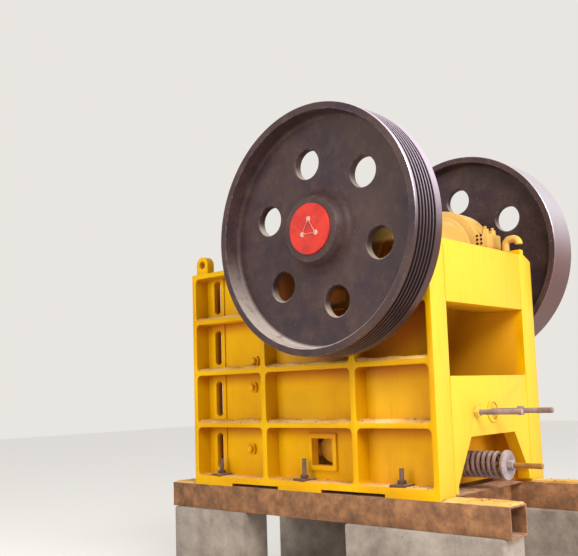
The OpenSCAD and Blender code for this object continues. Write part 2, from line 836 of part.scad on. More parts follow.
// A wheel on one side, its first hole turned by phase from +X towards +Z
module wheel(side, phase, grooved) {
    in_frame() translate([shaft_u, 0, shaft_w]) on_side(side) along_y() difference() {
        rotate_extrude() difference() {
            wheel_section();
            if (grooved) groove_cuts();
        }
        for (i = [0:wheel_holes - 1])
            rotate([0, 0, -phase - i * 360 / wheel_holes])
                translate([wheel_hole_r, 0, wheel_web_in_y - cut])
                    cylinder(h = wheel_web_t + 2 * cut, d = wheel_hole_d);
    }
}

module grooved_wheel() { color(iron) wheel(near, near_phase, true); }

module plain_wheel() { color(iron) wheel(far, far_phase, false); }

// Shaft with its eccentric middle; the eccentric hangs straight down at rest
module eccentric_shaft() {
    half = swing_half + 5;
    end_y = hub_out_y - 2;
    color(steel) in_frame() translate([shaft_u, 0, shaft_w]) {
        for (side = [near, far]) on_side(side) along_y() {
            translate([0, 0, half]) cylinder(h = hub_in_y - half, d = journal_d);
            translate([0, 0, hub_in_y]) cylinder(h = end_y - hub_in_y, d = hub_seat_d);
        }
        translate([0, -half, -throw]) along_y() cylinder(h = 2 * half, d = eccentric_d);
    }
}

// Round cap on the end of the shaft
module shaft_cap(side) {
    bevel = 4;
    color("#d8352a") in_frame() translate([shaft_u, 0, shaft_w]) on_side(side) along_y()
        translate([0, 0, hub_out_y]) {
            cylinder(h = cap_t - bevel, d = cap_d);
            translate([0, 0, cap_t - bevel]) cylinder(h = bevel, d1 = cap_d, d2 = cap_d - 2 * bevel);
        }
}

// The point where a line from a point touches the barrel; turn is 1 or -1 for the two sides
function touch(from, turn) =
    let (away = from - barrel_at, a = atan2(away[1], away[0]) + turn * acos(barrel_r / norm(away)))
    barrel_at + barrel_r * [cos(a), sin(a)];

toe_u = toggle_front_u;
toe_boss = [toe_u + toe_boss_back, toggle_front_w - toe_boss_drop];
toe_low = back_low - slab_below * face_up;
head_high = back_high + slab_above * face_up;

// Outline that the ribs of the swing jaw fill, from the slab to the barrel and the toe
module swing_rib_outline() {
    toe_back = [toe_u, toe_top_w];
    polygon([toe_low, head_high, touch(head_high, -1), barrel_at, touch(toe_back, 1),
             toe_back, [toe_u, toe_bottom_w]]);
    translate(barrel_at) circle(barrel_r);
}

module swing_slab_outline() {
    polygon([toe_low, head_high, head_high + slab_t * face_back, toe_low + slab_t * face_back]);
}

module toe_outline() {
    intersection() {
        swing_rib_outline();
        panel(0, 0, toe_u, toe_top_w);
    }
}

// Swing jaw casting: slab, barrel, ribs, toe with the toggle socket, and rod ears
module swing_jaw() {
    boss_y = swing_half - toe_boss_len;
    color(yellow) in_frame() difference() {
        union() {
            across(-swing_half, swing_half) {
                swing_slab_outline();
                toe_outline();
                // lip that carries the jaw plate
                polygon([back_low, back_low - lip * face_up, back_low - lip * (face_up + face_back),
                         back_low - lip * face_back]);
            }
            translate([barrel_at[0], -barrel_half, barrel_at[1]])
                along_y() cylinder(h = 2 * barrel_half, r = barrel_r);
            for (side = [near, far]) on_side(side) {
                across(barrel_half - swing_rib_t, barrel_half) swing_rib_outline();
                across(inner_rib_y - swing_rib_t / 2, inner_rib_y + swing_rib_t / 2)
                    swing_rib_outline();
                across(ear_y, ear_y + ear_t) {
                    translate([rod_pin_u, rod_w]) circle(ear_r);
                    panel(rod_pin_u - ear_r, rod_w, rod_pin_u + ear_r, toggle_front_w);
                }
                // round boss at the side of the toe, on its arm
                across(boss_y, swing_half) translate(toe_boss) circle(toe_boss_r);
                across(boss_y, boss_y + toe_arm_t)
                    polygon([[toe_u - cut, toe_bottom_w], [toe_boss[0], toe_boss[1] - toe_boss_r],
                             [toe_boss[0], toe_boss[1] + toe_boss_r], [toe_u - cut, toe_top_w]]);
            }
        }
        translate([barrel_at[0], -swing_half - cut, barrel_at[1]])
            along_y() cylinder(h = 2 * swing_half + 2 * cut, r = eccentric_d / 2 + run_fit);
        translate([toe_u, -swing_half - cut, toggle_front_w - throw])
            along_y() cylinder(h = 2 * swing_half + 2 * cut, r = toggle_socket_r);
        translate([rod_pin_u, -ear_y - ear_t - cut, rod_w])
            along_y() cylinder(h = 2 * (ear_y + ear_t + cut), r = rod_pin_d / 2 + seat);
    }
}

// Wedge bar that clamps the top of the moving jaw plate
module jaw_wedge() {
    top = back_high + seat * (face_up - face_back);
    color(steel) in_frame() across(-swing_half, swing_half)
        polygon([top, top + wedge_h * face_up, top + wedge_h * face_up - 0.6 * wedge_t * face_back,
                 top - wedge_t * face_back]);
}

// Ring that closes one end of the barrel
module barrel_cover(side) {
    color(yellow) in_frame() on_side(side)
        translate([barrel_at[0], barrel_half, barrel_at[1]]) along_y() difference() {
            cylinder(h = barrel_cover_t, r = barrel_cover_r);
            translate([0, 0, -cut])
                cylinder(h = barrel_cover_t + 2 * cut, r = eccentric_d / 2 + 2);
        }
}

// Tension rod with the cross pin that sits in the ears of the swing jaw
module tension_rod() {
    color(rust) in_frame() translate([rod_pin_u, 0, rod_w]) {
        along_x() cylinder(h = plate_len + rod_out - rod_pin_u, d = rod_d);
        translate([0, -rod_pin_len / 2, 0]) along_y() cylinder(h = rod_pin_len, d = rod_pin_d);
    }
}

module spring_washer() {
    color(iron) in_frame() translate([washer_u, 0, rod_w]) along_x() difference() {
        cylinder(h = washer_t, d = washer_d);
        translate([0, 0, -cut]) cylinder(h = washer_t + 2 * cut, r = rod_d / 2 + seat);
    }
}

module tension_nut() {
    color(iron) in_frame() translate([washer_u + washer_t, 0, rod_w]) along_x() difference() {
        cylinder(h = rod_nut_t, d = 1.9 * rod_d, $fn = 6);
        translate([0, 0, -cut]) cylinder(h = rod_nut_t + 2 * cut, r = rod_d / 2 + seat);
    }
}

// Coil spring, swept as one tube round the rod
module tension_spring() {
    sides = 8;
    per_turn = 14;
    steps = spring_turns * per_turn;
    wire_r = spring_wire_d / 2;
    coil_r = spring_d / 2 - wire_r;
    coil_len = washer_u - spring_from_u - spring_wire_d - 2 * seat;
    start = spring_from_u + wire_r + seat;
    points = [for (i = [0:steps], k = [0:sides - 1])
        let (turn = 360 * i / per_turn, a = 360 * k / sides, r = coil_r + wire_r * cos(a))
        [start + coil_len * i / steps + wire_r * sin(a), r * cos(turn), r * sin(turn)]];
    walls = [for (i = [0:steps - 1], k = [0:sides - 1])
        let (n = (k + 1) % sides)
        [i * sides + k, (i + 1) * sides + k, (i + 1) * sides + n, i * sides + n]];
    first = [for (k = [0:sides - 1]) k];
    last = [for (k = [sides - 1:-1:0]) steps * sides + k];
    color(steel) in_frame() translate([0, 0, rod_w])
        polyhedron(points, concat([first, last], walls));
}

side_plate(near);  // side_plate_near
side_plate(far);  // side_plate_far
front_wall();
rear_crossbeam();
rear_wall();
toggle_shelf();
spring_plate();
toggle_seat();
toggle_plate();
adjusting_screws();
fixed_jaw_plate();
cheek_plate(near);  // cheek_plate_near
cheek_plate(far);  // cheek_plate_far
bearing_housing(near);  // bearing_housing_near
bearing_housing(far);  // bearing_housing_far
bearing_cap(near);  // bearing_cap_near
bearing_cap(far);  // bearing_cap_far
bearing_cover(near);  // bearing_cover_near
bearing_cover(far);  // bearing_cover_far
lifting_lug(near);  // lifting_lug_near
lifting_lug(far);  // lifting_lug_far
rear_hook(near);  // rear_hook_near
rear_hook(far);  // rear_hook_far
base_beam(near);  // base_beam_near
base_beam(far);  // base_beam_far
cross_beam(cross_in);  // cross_beam_front
cross_beam(plate_len - cross_in - cross_w);  // cross_beam_rear
front_pier(near);  // pier_near_front
rear_pier(near);  // pier_near_rear
front_pier(far);  // pier_far_front
rear_pier(far);  // pier_far_rear
grooved_wheel();
plain_wheel();
eccentric_shaft();
shaft_cap(near);  // shaft_cap_near
shaft_cap(far);  // shaft_cap_far
swing_jaw();
moving_jaw_plate();
jaw_wedge();
barrel_cover(near);  // barrel_cover_near
barrel_cover(far);  // barrel_cover_far
tension_rod();
spring_washer();
tension_nut();
tension_spring();
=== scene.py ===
"""Looks of the jaw crusher: paint, rust, dust, bolts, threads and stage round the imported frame."""

import logging
import math
import random
from dataclasses import dataclass, field
from enum import Enum
from typing import Sequence

import bmesh
import bpy
from mathutils import Matrix, Vector, noise


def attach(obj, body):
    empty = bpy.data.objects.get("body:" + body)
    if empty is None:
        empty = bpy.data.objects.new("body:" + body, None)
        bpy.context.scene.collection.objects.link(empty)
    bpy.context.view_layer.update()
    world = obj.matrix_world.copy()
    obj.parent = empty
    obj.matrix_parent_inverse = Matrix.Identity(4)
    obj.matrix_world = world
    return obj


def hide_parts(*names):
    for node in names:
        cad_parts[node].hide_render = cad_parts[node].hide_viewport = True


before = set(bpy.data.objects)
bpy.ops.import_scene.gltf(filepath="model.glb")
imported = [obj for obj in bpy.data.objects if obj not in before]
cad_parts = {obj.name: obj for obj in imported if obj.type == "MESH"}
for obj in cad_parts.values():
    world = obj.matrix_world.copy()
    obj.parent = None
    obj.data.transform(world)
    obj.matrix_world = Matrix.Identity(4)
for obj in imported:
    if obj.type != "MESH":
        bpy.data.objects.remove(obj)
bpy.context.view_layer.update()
LOG = logging.getLogger("jaw_crusher")

BMesh = bmesh.types.BMesh
Outline = list[tuple[float, float]]
Source = bpy.types.Node | bpy.types.NodeSocket

# Layout in millimetres: u from the feed end, y from the middle plane, w above the pads
ORIGIN_U = 1320.0
PADS_UP = 900.0
SHAFT_U = 1720.0
SHAFT_W = 1900.0
ECCENTRIC = 15.0
REAR_U = 2440.0
PLATE_IN_Y = 570.0
WEB_OUT_Y = 630.0
FOOT_TOP_W = 75.0
FLANGE_UNDER_W = 1760.0
RIB_STEP = 440.0
RIB_TOPS_W = (515.0, 955.0, 1395.0)
BAYS_U = ((44, 811), (859, 1716), (1764, 2396))
ROD_W = 178.0
SCREWS_W = 570.0


class Body(Enum):
    """The three bodies that pieces ride on."""

    FRAME = "frame"
    ROTOR = "rotor"
    PITMAN = "pitman"


class Side(Enum):
    """The two sides of the machine, with their sign along Y."""

    NEAR = -1
    FAR = 1

    @property
    def label(self) -> str:
        """Name of the side in the names of pieces."""
        return self.name.lower()

    @property
    def outward(self) -> Matrix:
        """Matrix that turns +Z to the way out of this side."""
        return TO_Y if self is Side.FAR else TO_Y.inverted()


def mm(*values: float) -> Vector:
    """Turns a place or size in millimetres to metres."""
    return Vector(values) / 1000


def in_frame(u: float, y: float, w: float) -> Vector:
    """Turns a place in the layout's own terms to metres.

    Args:
        u: distance from the feed end of the side plates, in millimetres.
        y: distance from the middle plane, in millimetres.
        w: height above the pads of the side plates, in millimetres.

    Returns:
        The place in the shared frame.
    """
    return mm(u - ORIGIN_U, y, w + PADS_UP)


def stand_at(u: float, y: float, w: float, turn: Matrix) -> Matrix:
    """Gives the matrix that turns a piece and sets it at a place of the layout."""
    return Matrix.Translation(in_frame(u, y, w)) @ turn


def between(start: Vector, end: Vector) -> Matrix:
    """Gives the matrix that takes +Z, from the origin, to the way from one place to another."""
    return Matrix.Translation(start) @ (end - start).to_track_quat("Z", "Y").to_matrix().to_4x4()


def in_scene(name: str, data: bpy.types.ID) -> bpy.types.Object:
    """Makes an object of a mesh, a lamp or a camera and links it to the scene."""
    made = bpy.data.objects.new(name, data)
    bpy.context.scene.collection.objects.link(made)
    return made


TO_Y = Matrix.Rotation(math.radians(-90), 4, "X")
TO_X = Matrix.Rotation(math.radians(90), 4, "Y")


# Nodes of materials


def linear(code: str) -> tuple[float, float, float, float]:
    """Turns an sRGB hex colour into linear values.

    Args:
        code: colour as "#rrggbb".

    Returns:
        Red, green, blue and an alpha of one.
    """
    parts = [int(code[i : i + 2], 16) / 255 for i in (1, 3, 5)]
    red, green, blue = (p / 12.92 if p <= 0.04045 else ((p + 0.055) / 1.055) ** 2.4 for p in parts)
    return (red, green, blue, 1.0)


@dataclass
class Wires:
    """A node tree and its patterns; lengths are millimetres, and a node stands for its first output."""

    tree: bpy.types.NodeTree
    shader: bpy.types.Node | None = None

    def node(
        self,
        kind: str,
        settings: dict | None = None,
        links: dict | None = None,
        stops: Sequence[tuple[float, str]] = (),
    ) -> bpy.types.Node:
        """Adds one node with its settings and links.

        Args:
            kind: Blender's name of the node type.
            settings: values by property name, input name or input number.
            links: sources by input name or number.
            stops: places and hex colours of a colour ramp.

        Returns:
            The new node.
        """
        node = self.tree.nodes.new(kind)
        for key, value in (settings or {}).items():
            if isinstance(key, str) and hasattr(node, key):
                setattr(node, key, value)
            else:
                node.inputs[key].default_value = value
        for key, source in (links or {}).items():
            self.link(source, node.inputs[key])
        for i, (place, code) in enumerate(stops):
            elements = node.color_ramp.elements
            element = elements[i] if i < len(elements) else elements.new(1.0)
            element.position = place
            element.color = linear(code)
        return node

    def link(self, source: Source, target: bpy.types.NodeSocket) -> None:
        """Links a source to an input."""
        self.tree.links.new(source.outputs[0] if isinstance(source, bpy.types.Node) else source, target)

    def surface(self, **values: float | Sequence[float] | Source) -> None:
        """Sets or links inputs of the shader; an underscore stands for a space."""
        for name, value in values.items():
            target = self.shader.inputs[name.replace("_", " ")]
            if isinstance(value, Source):
                self.link(value, target)
            else:
                target.default_value = value

    def noise(
        self,
        size: float,
        detail: float = 3.0,
        stretch: Sequence[float] = (1.0, 1.0, 1.0),
        rough: float = 0.5,
    ) -> Source:
        """Adds a noise whose grains have a real size.

        Args:
            size: width of one grain.
            detail: octaves of the noise.
            stretch: how often the pattern repeats along each axis, against the others.
            rough: weight of the finer octaves.

        Returns:
            The noise's value.
        """
        place = self.node("ShaderNodeTexCoord").outputs["Object"]
        mapped = self.node("ShaderNodeMapping", {"Scale": tuple(stretch)}, {"Vector": place})
        settings = {"Scale": 1000 / size, "Detail": detail, "Roughness": rough}
        return self.node("ShaderNodeTexNoise", settings, {"Vector": mapped})

    def clouds(
        self, size: float, detail: float, stops: Sequence[tuple[float, str]], rough: float = 0.5
    ) -> Source:
        """Colours a noise of a real size by a ramp."""
        value = self.noise(size, detail, rough=rough)
        return self.node("ShaderNodeValToRGB", links={0: value}, stops=stops)

    def band(self, value: Source, low: float, high: float) -> Source:
        """Spreads values from low to high over 0 to 1 and clamps the rest; low may be the larger."""
        settings = {"From Min": low, "From Max": high, "interpolation_type": "SMOOTHSTEP"}
        return self.node("ShaderNodeMapRange", settings, {"Value": value})

    def patches(self, size: float, detail: float, low: float, high: float, rough: float = 0.5) -> Source:
        """Gives patches of a real size, with edges as soft as low and high lie apart."""
        return self.band(self.noise(size, detail, rough=rough), low, high)

    def product(self, first: Source, *others: Source | float) -> Source:
        """Multiplies a value by other values or numbers."""
        for other in others:
            settings = {"operation": "MULTIPLY"}
            links = {0: first}
            if isinstance(other, Source):
                links[1] = other
            else:
                settings[1] = other
            first = self.node("ShaderNodeMath", settings, links)
        return first

    def over(self, under: Source, code: str, first: Source, *others: Source | float) -> Source:
        """Lays a colour over another.

        Args:
            under: colour below.
            code: hex colour on top.
            first: cover, from 0 to 1.
            others: values or numbers that the cover is multiplied by.

        Returns:
            The mixed colour.
        """
        settings = {"data_type": "RGBA", 7: linear(code)}
        links = {0: self.product(first, *others), 6: under}
        return self.node("ShaderNodeMix", settings, links).outputs[2]

    def edges(self, reach: float) -> Source:
        """Finds outer and inner edges from how far the rounded normal leans off the flat one."""
        soft = self.node("ShaderNodeBevel", {"samples": 4, "Radius": reach / 1000})
        flat = self.node("ShaderNodeNewGeometry").outputs["Normal"]
        settings = {"operation": "DOT_PRODUCT"}
        lean = self.node("ShaderNodeVectorMath", settings, {0: soft, 1: flat}).outputs["Value"]
        # cosines of about 6 and 31 degrees
        return self.node("ShaderNodeMapRange", {"From Min": 0.995, "From Max": 0.86}, {"Value": lean})

    def facing(self, axis: str, low: float, high: float) -> Source:
        """Spreads how far the surface faces along an axis, from low to high, over 0 to 1."""
        normal = self.node("ShaderNodeTexCoord").outputs["Normal"]
        split = self.node("ShaderNodeSeparateXYZ", links={0: normal})
        return self.band(split.outputs[axis], low, high)

    def place(self, axis: str) -> Source:
        """Gives one coordinate in metres."""
        place = self.node("ShaderNodeTexCoord").outputs["Object"]
        return self.node("ShaderNodeSeparateXYZ", links={0: place}).outputs[axis]

    def fade(self, value: Source, low: float, high: float) -> Source:
        """Spreads a length from low to high over 0 to 1; low may be the larger."""
        return self.band(value, low / 1000, high / 1000)

    def fade_u(self, low: float, high: float) -> Source:
        """Spreads the place along the machine from low to high over 0 to 1."""
        return self.fade(self.place("X"), low - ORIGIN_U, high - ORIGIN_U)

    def fade_w(self, low: float, high: float) -> Source:
        """Spreads the height above the pads from low to high over 0 to 1."""
        return self.fade(self.place("Z"), low + PADS_UP, high + PADS_UP)

    def within(self, value: Source, low: float, high: float) -> Source:
        """Gives 1 where a length lies between low and high, and 0 elsewhere."""
        settings = {"operation": "COMPARE", 1: (low + high) / 2000, 2: (high - low) / 2000}
        return self.node("ShaderNodeMath", settings, {0: value})

    def off_middle(self) -> Source:
        """Gives the distance from the middle plane in metres."""
        return self.node("ShaderNodeMath", {"operation": "ABSOLUTE"}, {0: self.place("Y")})

    def off_shaft(self) -> Source:
        """Gives the distance from the axis of the main shaft in metres."""
        place = self.node("ShaderNodeTexCoord").outputs["Object"]
        settings = {"Location": -in_frame(SHAFT_U, 0, SHAFT_W), "Scale": (1.0, 0.0, 1.0)}
        mapped = self.node("ShaderNodeMapping", settings, {"Vector": place})
        reach = self.node("ShaderNodeVectorMath", {"operation": "LENGTH"}, {0: mapped})
        return reach.outputs["Value"]

    def bump(self, height: Source, depth: float, strength: float = 0.6) -> None:
        """Gives the shader a relief of a real depth."""
        settings = {"Strength": strength, "Distance": depth / 1000}
        self.surface(Normal=self.node("ShaderNodeBump", settings, {"Height": height}))


@dataclass(frozen=True)
class Finish:
    """One real material: its name and a slot name."""

    name: str
    slot: str

    def build(self) -> bpy.types.Material:
        """Makes the material, or returns it if it is there already."""
        found = bpy.data.materials.get(self.name)
        if found:
            return found
        material = bpy.data.materials.new(self.name)
        material.use_nodes = True
        wires = Wires(material.node_tree)
        wires.tree.nodes.clear()
        wires.shader = wires.node("ShaderNodeBsdfPrincipled")
        wires.node("ShaderNodeOutputMaterial", links={"Surface": wires.shader})
        self.fill(wires)
        return material

    def fill(self, wires: Wires) -> None:
        """Wires the shader; each finish has its own way."""
        raise NotImplementedError


@dataclass(frozen=True)
class YellowEnamel(Finish):
    """Alkyd machine enamel sprayed on plate and castings: warm, half gloss, dusty on every ledge."""

    body: str = "#e8ab00"
    pale: str = "#f3bf02"
    deep: str = "#d99800"
    bleached: str = "#e0bc3c"
    shaded: str = "#c08600"
    dust: str = "#cf9f74"
    chip: str = "#5b3a20"
    run: str = "#b97a1c"
    speck: str = "#9a6a2c"
    sheltered: str = "#a85304"
    grease: str = "#8c3412"
    oiled: str = "#e09c1e"
    soot: str = "#7a3c12"
    cast: bool = False
    pocket_u: tuple[float, float] = (42.0, 2398.0)
    pocket_y: tuple[float, float] = (623.0, 763.0)
    rib_y: tuple[float, float] = (600.0, 840.0)
    rib_t: float = 35.0
    shade_from: tuple[float, float] = (310.0, 460.0)
    inner_y: float = 628.0

    def fill(self, wires: Wires) -> None:
        """Wires cloudy paint, dust that lies on ledges, dirt runs and chipped edges, with painted shade on
        +X faces, under the ribs, behind the wheels and in the crushing box, painted sunlight on the rear
        faces, and an orange-brown tone between the plates.
        """
        tone = wires.clouds(700, 3, [(0.3, self.deep), (0.5, self.body), (0.72, self.pale)])
        # painted shade: every face that faces +X gets the darker shaded tone
        tone = wires.over(tone, self.shaded, wires.facing("X", 0.35, 0.9), 0.75)
        # painted sunlight: the outermost rear faces, which face +X, are painted paler
        rear = wires.facing("X", 0.35, 0.9)
        tone = wires.over(tone, self.bleached, rear, wires.fade_u(2300, 2380), 0.85)
        # rain runs: 25 mm wide and long down the plates
        runs = wires.band(wires.noise(25, 2, (1, 1, 0.06)), 0.58, 0.78)
        tone = wires.over(tone, self.run, runs, 0.22)
        tone = wires.over(tone, self.speck, wires.patches(14, 4, 0.64, 0.72), 0.5)
        cover = wires.patches(90, 5, 0.33, 0.6, 0.62)
        lying = wires.product(wires.facing("Z", 0.55, 0.95), cover, 0.85)
        tone = wires.over(tone, self.dust, lying)
        tone = wires.over(tone, self.chip, wires.edges(7), wires.patches(22, 4, 0.55, 0.63, 0.65), 0.6)
        # painted shade in the strips just below each rib
        tone = wires.over(tone, self.sheltered, self.under_ribs(wires), 0.85)
        # painted shadow of the wheels on the plates behind them
        tone = wires.over(tone, self.grease, self.behind_wheels(wires), 0.82)
        # an orange-brown tone on every wall between the side plates
        tone = wires.over(tone, self.oiled, self.between_plates(wires), 0.8)
        # painted shade on the walls of the crushing box
        tone = wires.over(tone, self.soot, self.crushing_box(wires), 0.6)
        gloss = wires.node("ShaderNodeMapRange", {"To Min": 0.38, "To Max": 0.85}, {"Value": lying})
        wires.surface(Base_Color=tone, Specular_IOR_Level=0.12, Roughness=gloss)
        if self.cast:
            # sand-cast skin: 5 mm grains
            wires.bump(wires.noise(5, 5), 1.2, 0.5)
        else:
            # orange peel of sprayed enamel is 2 mm wide; drawn 6 mm wide so that it shows
            wires.bump(wires.noise(6), 0.4, 0.3)

    def pockets(self, wires: Wires) -> Source:
        """Finds the pockets outside the webs of the side plates, between their end flanges."""
        start, end = self.pocket_u
        along = wires.within(wires.place("X"), start - ORIGIN_U, end - ORIGIN_U)
        return wires.product(along, wires.within(wires.off_middle(), *self.pocket_y))

    def under_ribs(self, wires: Wires) -> Source:
        """Finds the strips below each level rib, which get painted shade."""
        lowest = (RIB_TOPS_W[0] - self.rib_t + PADS_UP) / 1000
        rise = wires.node("ShaderNodeMath", {"operation": "SUBTRACT", 1: lowest}, {0: wires.place("Z")})
        settings = {"operation": "FLOORED_MODULO", 1: RIB_STEP / 1000}
        step = wires.node("ShaderNodeMath", settings, {0: rise})
        flange = wires.fade_w(FLANGE_UNDER_W + 10, FLANGE_UNDER_W)
        return wires.product(wires.fade(step, *self.shade_from), self.pockets(wires), flange)

    def behind_wheels(self, wires: Wires) -> Source:
        """Finds the plates behind the wheels, where the wheels' shadow is painted in brown."""
        off_middle = wires.off_middle()
        webs = wires.product(self.pockets(wires), wires.fade(off_middle, 740, 680))
        ribs = wires.product(wires.within(off_middle, *self.rib_y), wires.fade(wires.off_shaft(), 860, 760))
        both = wires.node("ShaderNodeMath", {"operation": "MAXIMUM"}, {0: webs, 1: ribs})
        around = wires.fade(wires.off_shaft(), 1150, 850)
        return wires.product(both, around, wires.fade_u(2420, 2320), wires.fade_w(1820, 1780))

    def between_plates(self, wires: Wires) -> Source:
        """Finds every wall between the side plates, which gets an orange-brown tone."""
        return wires.product(
            wires.fade(wires.off_middle(), self.inner_y, self.inner_y - 16),
            wires.fade_u(50, 70),
            wires.fade_u(2390, 2350),
            wires.fade_w(FLANGE_UNDER_W, FLANGE_UNDER_W - 60),
        )

    def crushing_box(self, wires: Wires) -> Source:
        """Finds the walls of the crushing box, darkened as painted shade."""
        return wires.product(
            wires.fade(wires.off_middle(), self.inner_y, self.inner_y - 30),
            wires.fade_u(50, 120),
            wires.fade_u(1320, 820),
            wires.fade_w(FLANGE_UNDER_W, FLANGE_UNDER_W - 210),
        )


@dataclass(frozen=True)
class BlackIronPaint(Finish):
    """Grey cast iron under thin black asphalt paint: satin, brownish with stone dust."""

    body: str = "#2f2029"
    light: str = "#4b3530"
    dust: str = "#80614a"
    lying: str = "#d0bfb4"
    bare: str = "#9a8f90"
    scraped: str = "#cdbba6"
    groove: str = "#191318"
    tread_below: str = "#5a423c"
    tread_above: str = "#dccbdc"
    web_y: tuple[float, float] = (969.0, 1031.0)
    holes_r: tuple[float, float] = (330.0, 730.0)
    grooves_r: tuple[float, float] = (871.5, 900.5)
    grooves_y: tuple[float, float] = (932.5, 1155.5)
    tread_r: tuple[float, float] = (901.0, 910.0)

    def fill(self, wires: Wires) -> None:
        """Wires thin paint, dust, edges rubbed bright, a painted highlight on the hole walls, painted shade
        in the grooves, and the bright tread with a painted sky reflection on its upper side.
        """
        off_shaft = wires.off_shaft()
        off_middle = wires.off_middle()
        tone = wires.clouds(420, 4, [(0.3, self.body), (0.75, self.light)], 0.6)
        tone = wires.over(tone, self.dust, wires.patches(150, 6, 0.4, 0.85, 0.7), 0.3)
        heaped = wires.patches(60, 5, 0.12, 0.5, 0.6)
        tone = wires.over(
            tone, self.lying, wires.facing("Z", 0.0, 0.9), heaped, wires.fade(off_shaft, 400, 800), 0.85
        )
        # painted highlight: the upward-facing walls of the web's round holes are painted pale
        web = wires.within(off_middle, *self.web_y)
        walls = wires.product(web, wires.within(off_shaft, *self.holes_r))
        tone = wires.over(tone, self.scraped, walls, wires.facing("Z", -0.2, 0.95), 0.8)
        tone = wires.over(tone, self.bare, wires.edges(6), wires.patches(30, 4, 0.45, 0.62), 0.7)
        tone = wires.over(tone, self.lying, wires.patches(9, 3, 0.68, 0.74), 0.45)
        # painted shade: the grooves' flanks and roots are painted near black
        deep = wires.within(off_shaft, *self.grooves_r)
        tone = wires.over(tone, self.groove, deep, wires.within(off_middle, *self.grooves_y), 0.85)
        # the tread is turned bright: tool marks run round it, 3 mm apart; its upper side is painted paler as
        # a painted sky reflection, and its lower side darker as painted shade
        tread = wires.within(off_shaft, *self.tread_r)
        stops = [(0.0, self.tread_below), (1.0, self.tread_above)]
        links = {0: wires.facing("Z", -0.2, 0.42)}
        steel = wires.node("ShaderNodeValToRGB", links=links, stops=stops)
        marks = wires.band(wires.noise(3, 3, (0, 1, 0), 0.7), 0.45, 0.8)
        steel = wires.over(steel, self.body, marks, 0.7)
        links = {0: tread, 6: tone, 7: steel}
        mixed = wires.node("ShaderNodeMix", {"data_type": "RGBA"}, links).outputs[2]
        gloss = wires.node("ShaderNodeMapRange", {"To Min": 0.5, "To Max": 0.3}, {"Value": tread})
        wires.surface(Base_Color=mixed, Metallic=wires.product(tread, 0.5))
        wires.surface(Roughness=gloss, Specular_IOR_Level=0.25)
        # sand-cast skin under the paint: 4 mm grains
        wires.bump(wires.noise(4, 4), 0.6, 0.35)


@dataclass(frozen=True)
class RedEnamel(Finish):
    """Brushed red enamel on a turned steel disc: strong colour, half gloss, a little dusty."""

    body: str = "#d42a16"
    dark: str = "#b92012"
    dust: str = "#c98570"
    chip: str = "#4a2a22"

    def fill(self, wires: Wires) -> None:
        """Wires cloudy red with a thin film of dust."""
        tone = wires.clouds(120, 4, [(0.35, self.dark), (0.6, self.body)])
        tone = wires.over(tone, self.dust, wires.patches(35, 5, 0.5, 0.8, 0.7), 0.25)
        tone = wires.over(tone, self.chip, wires.edges(4), wires.patches(12, 3, 0.5, 0.6))
        wires.surface(Base_Color=tone, Specular_IOR_Level=0.3, Roughness=0.45)
        wires.bump(wires.noise(6), 0.3, 0.3)


@dataclass(frozen=True)
class WornSteel(Finish):
    """Bare steel that runs against stone or steel: grey, brushed by wear, brown in the hollows."""

    body: str = "#8b8580"
    dark: str = "#5a524c"
    rust: str = "#7a5135"

    def fill(self, wires: Wires) -> None:
        """Wires grey metal with a brown film where nothing rubs it."""
        film = wires.patches(160, 5, 0.48, 0.66, 0.7)
        tone = wires.clouds(80, 5, [(0.3, self.dark), (0.7, self.body)], 0.65)
        tone = wires.over(tone, self.rust, film, 0.8)
        bare = wires.node("ShaderNodeMath", {"operation": "SUBTRACT", 0: 1.0}, {1: film})
        wires.surface(Base_Color=tone, Metallic=wires.product(bare, 0.8), Roughness=0.42)
        # scour marks of stone run down the faces, 3 mm wide
        wires.bump(wires.noise(3, 3, (1, 1, 0.15)), 0.5, 0.4)


@dataclass(frozen=True)
class RustySteel(Finish):
    """Hot-rolled steel left in the weather: matt brown rust with darker scale and pale dust."""

    body: str = "#8a5e3c"
    dark: str = "#5c402c"
    bright: str = "#b07c50"
    dust: str = "#c2a48c"

    def fill(self, wires: Wires) -> None:
        """Wires rust in three tones, with dust on what faces up."""
        tone = wires.clouds(130, 6, [(0.3, self.dark), (0.5, self.body), (0.7, self.bright)], 0.68)
        tone = wires.over(tone, self.dark, wires.patches(28, 5, 0.58, 0.7, 0.7), 0.6)
        cover = wires.patches(70, 5, 0.3, 0.62, 0.6)
        tone = wires.over(tone, self.dust, wires.facing("Z", 0.55, 0.95), cover, 0.75)
        wires.surface(Base_Color=tone, Roughness=0.86)
        wires.bump(wires.noise(7, 5, rough=0.65), 0.9)


@dataclass(frozen=True)
class CastConcrete(Finish):
    """Concrete and broken stone: grey brown, cloudy and pitted."""

    body: str = "#978a7e"
    dark: str = "#6f6258"
    pale: str = "#b3a697"
    pit: str = "#574b43"

    def fill(self, wires: Wires) -> None:
        """Wires cloudy cement with pits."""
        tone = wires.clouds(320, 6, [(0.3, self.dark), (0.5, self.body), (0.7, self.pale)], 0.65)
        tone = wires.over(tone, self.pit, wires.patches(12, 3, 0.66, 0.72), 0.8)
        wires.surface(Base_Color=tone, Roughness=0.93)
        wires.bump(wires.noise(16, 6, rough=0.7), 3.0)


# Finishes; colours without a name stand in the order of the class

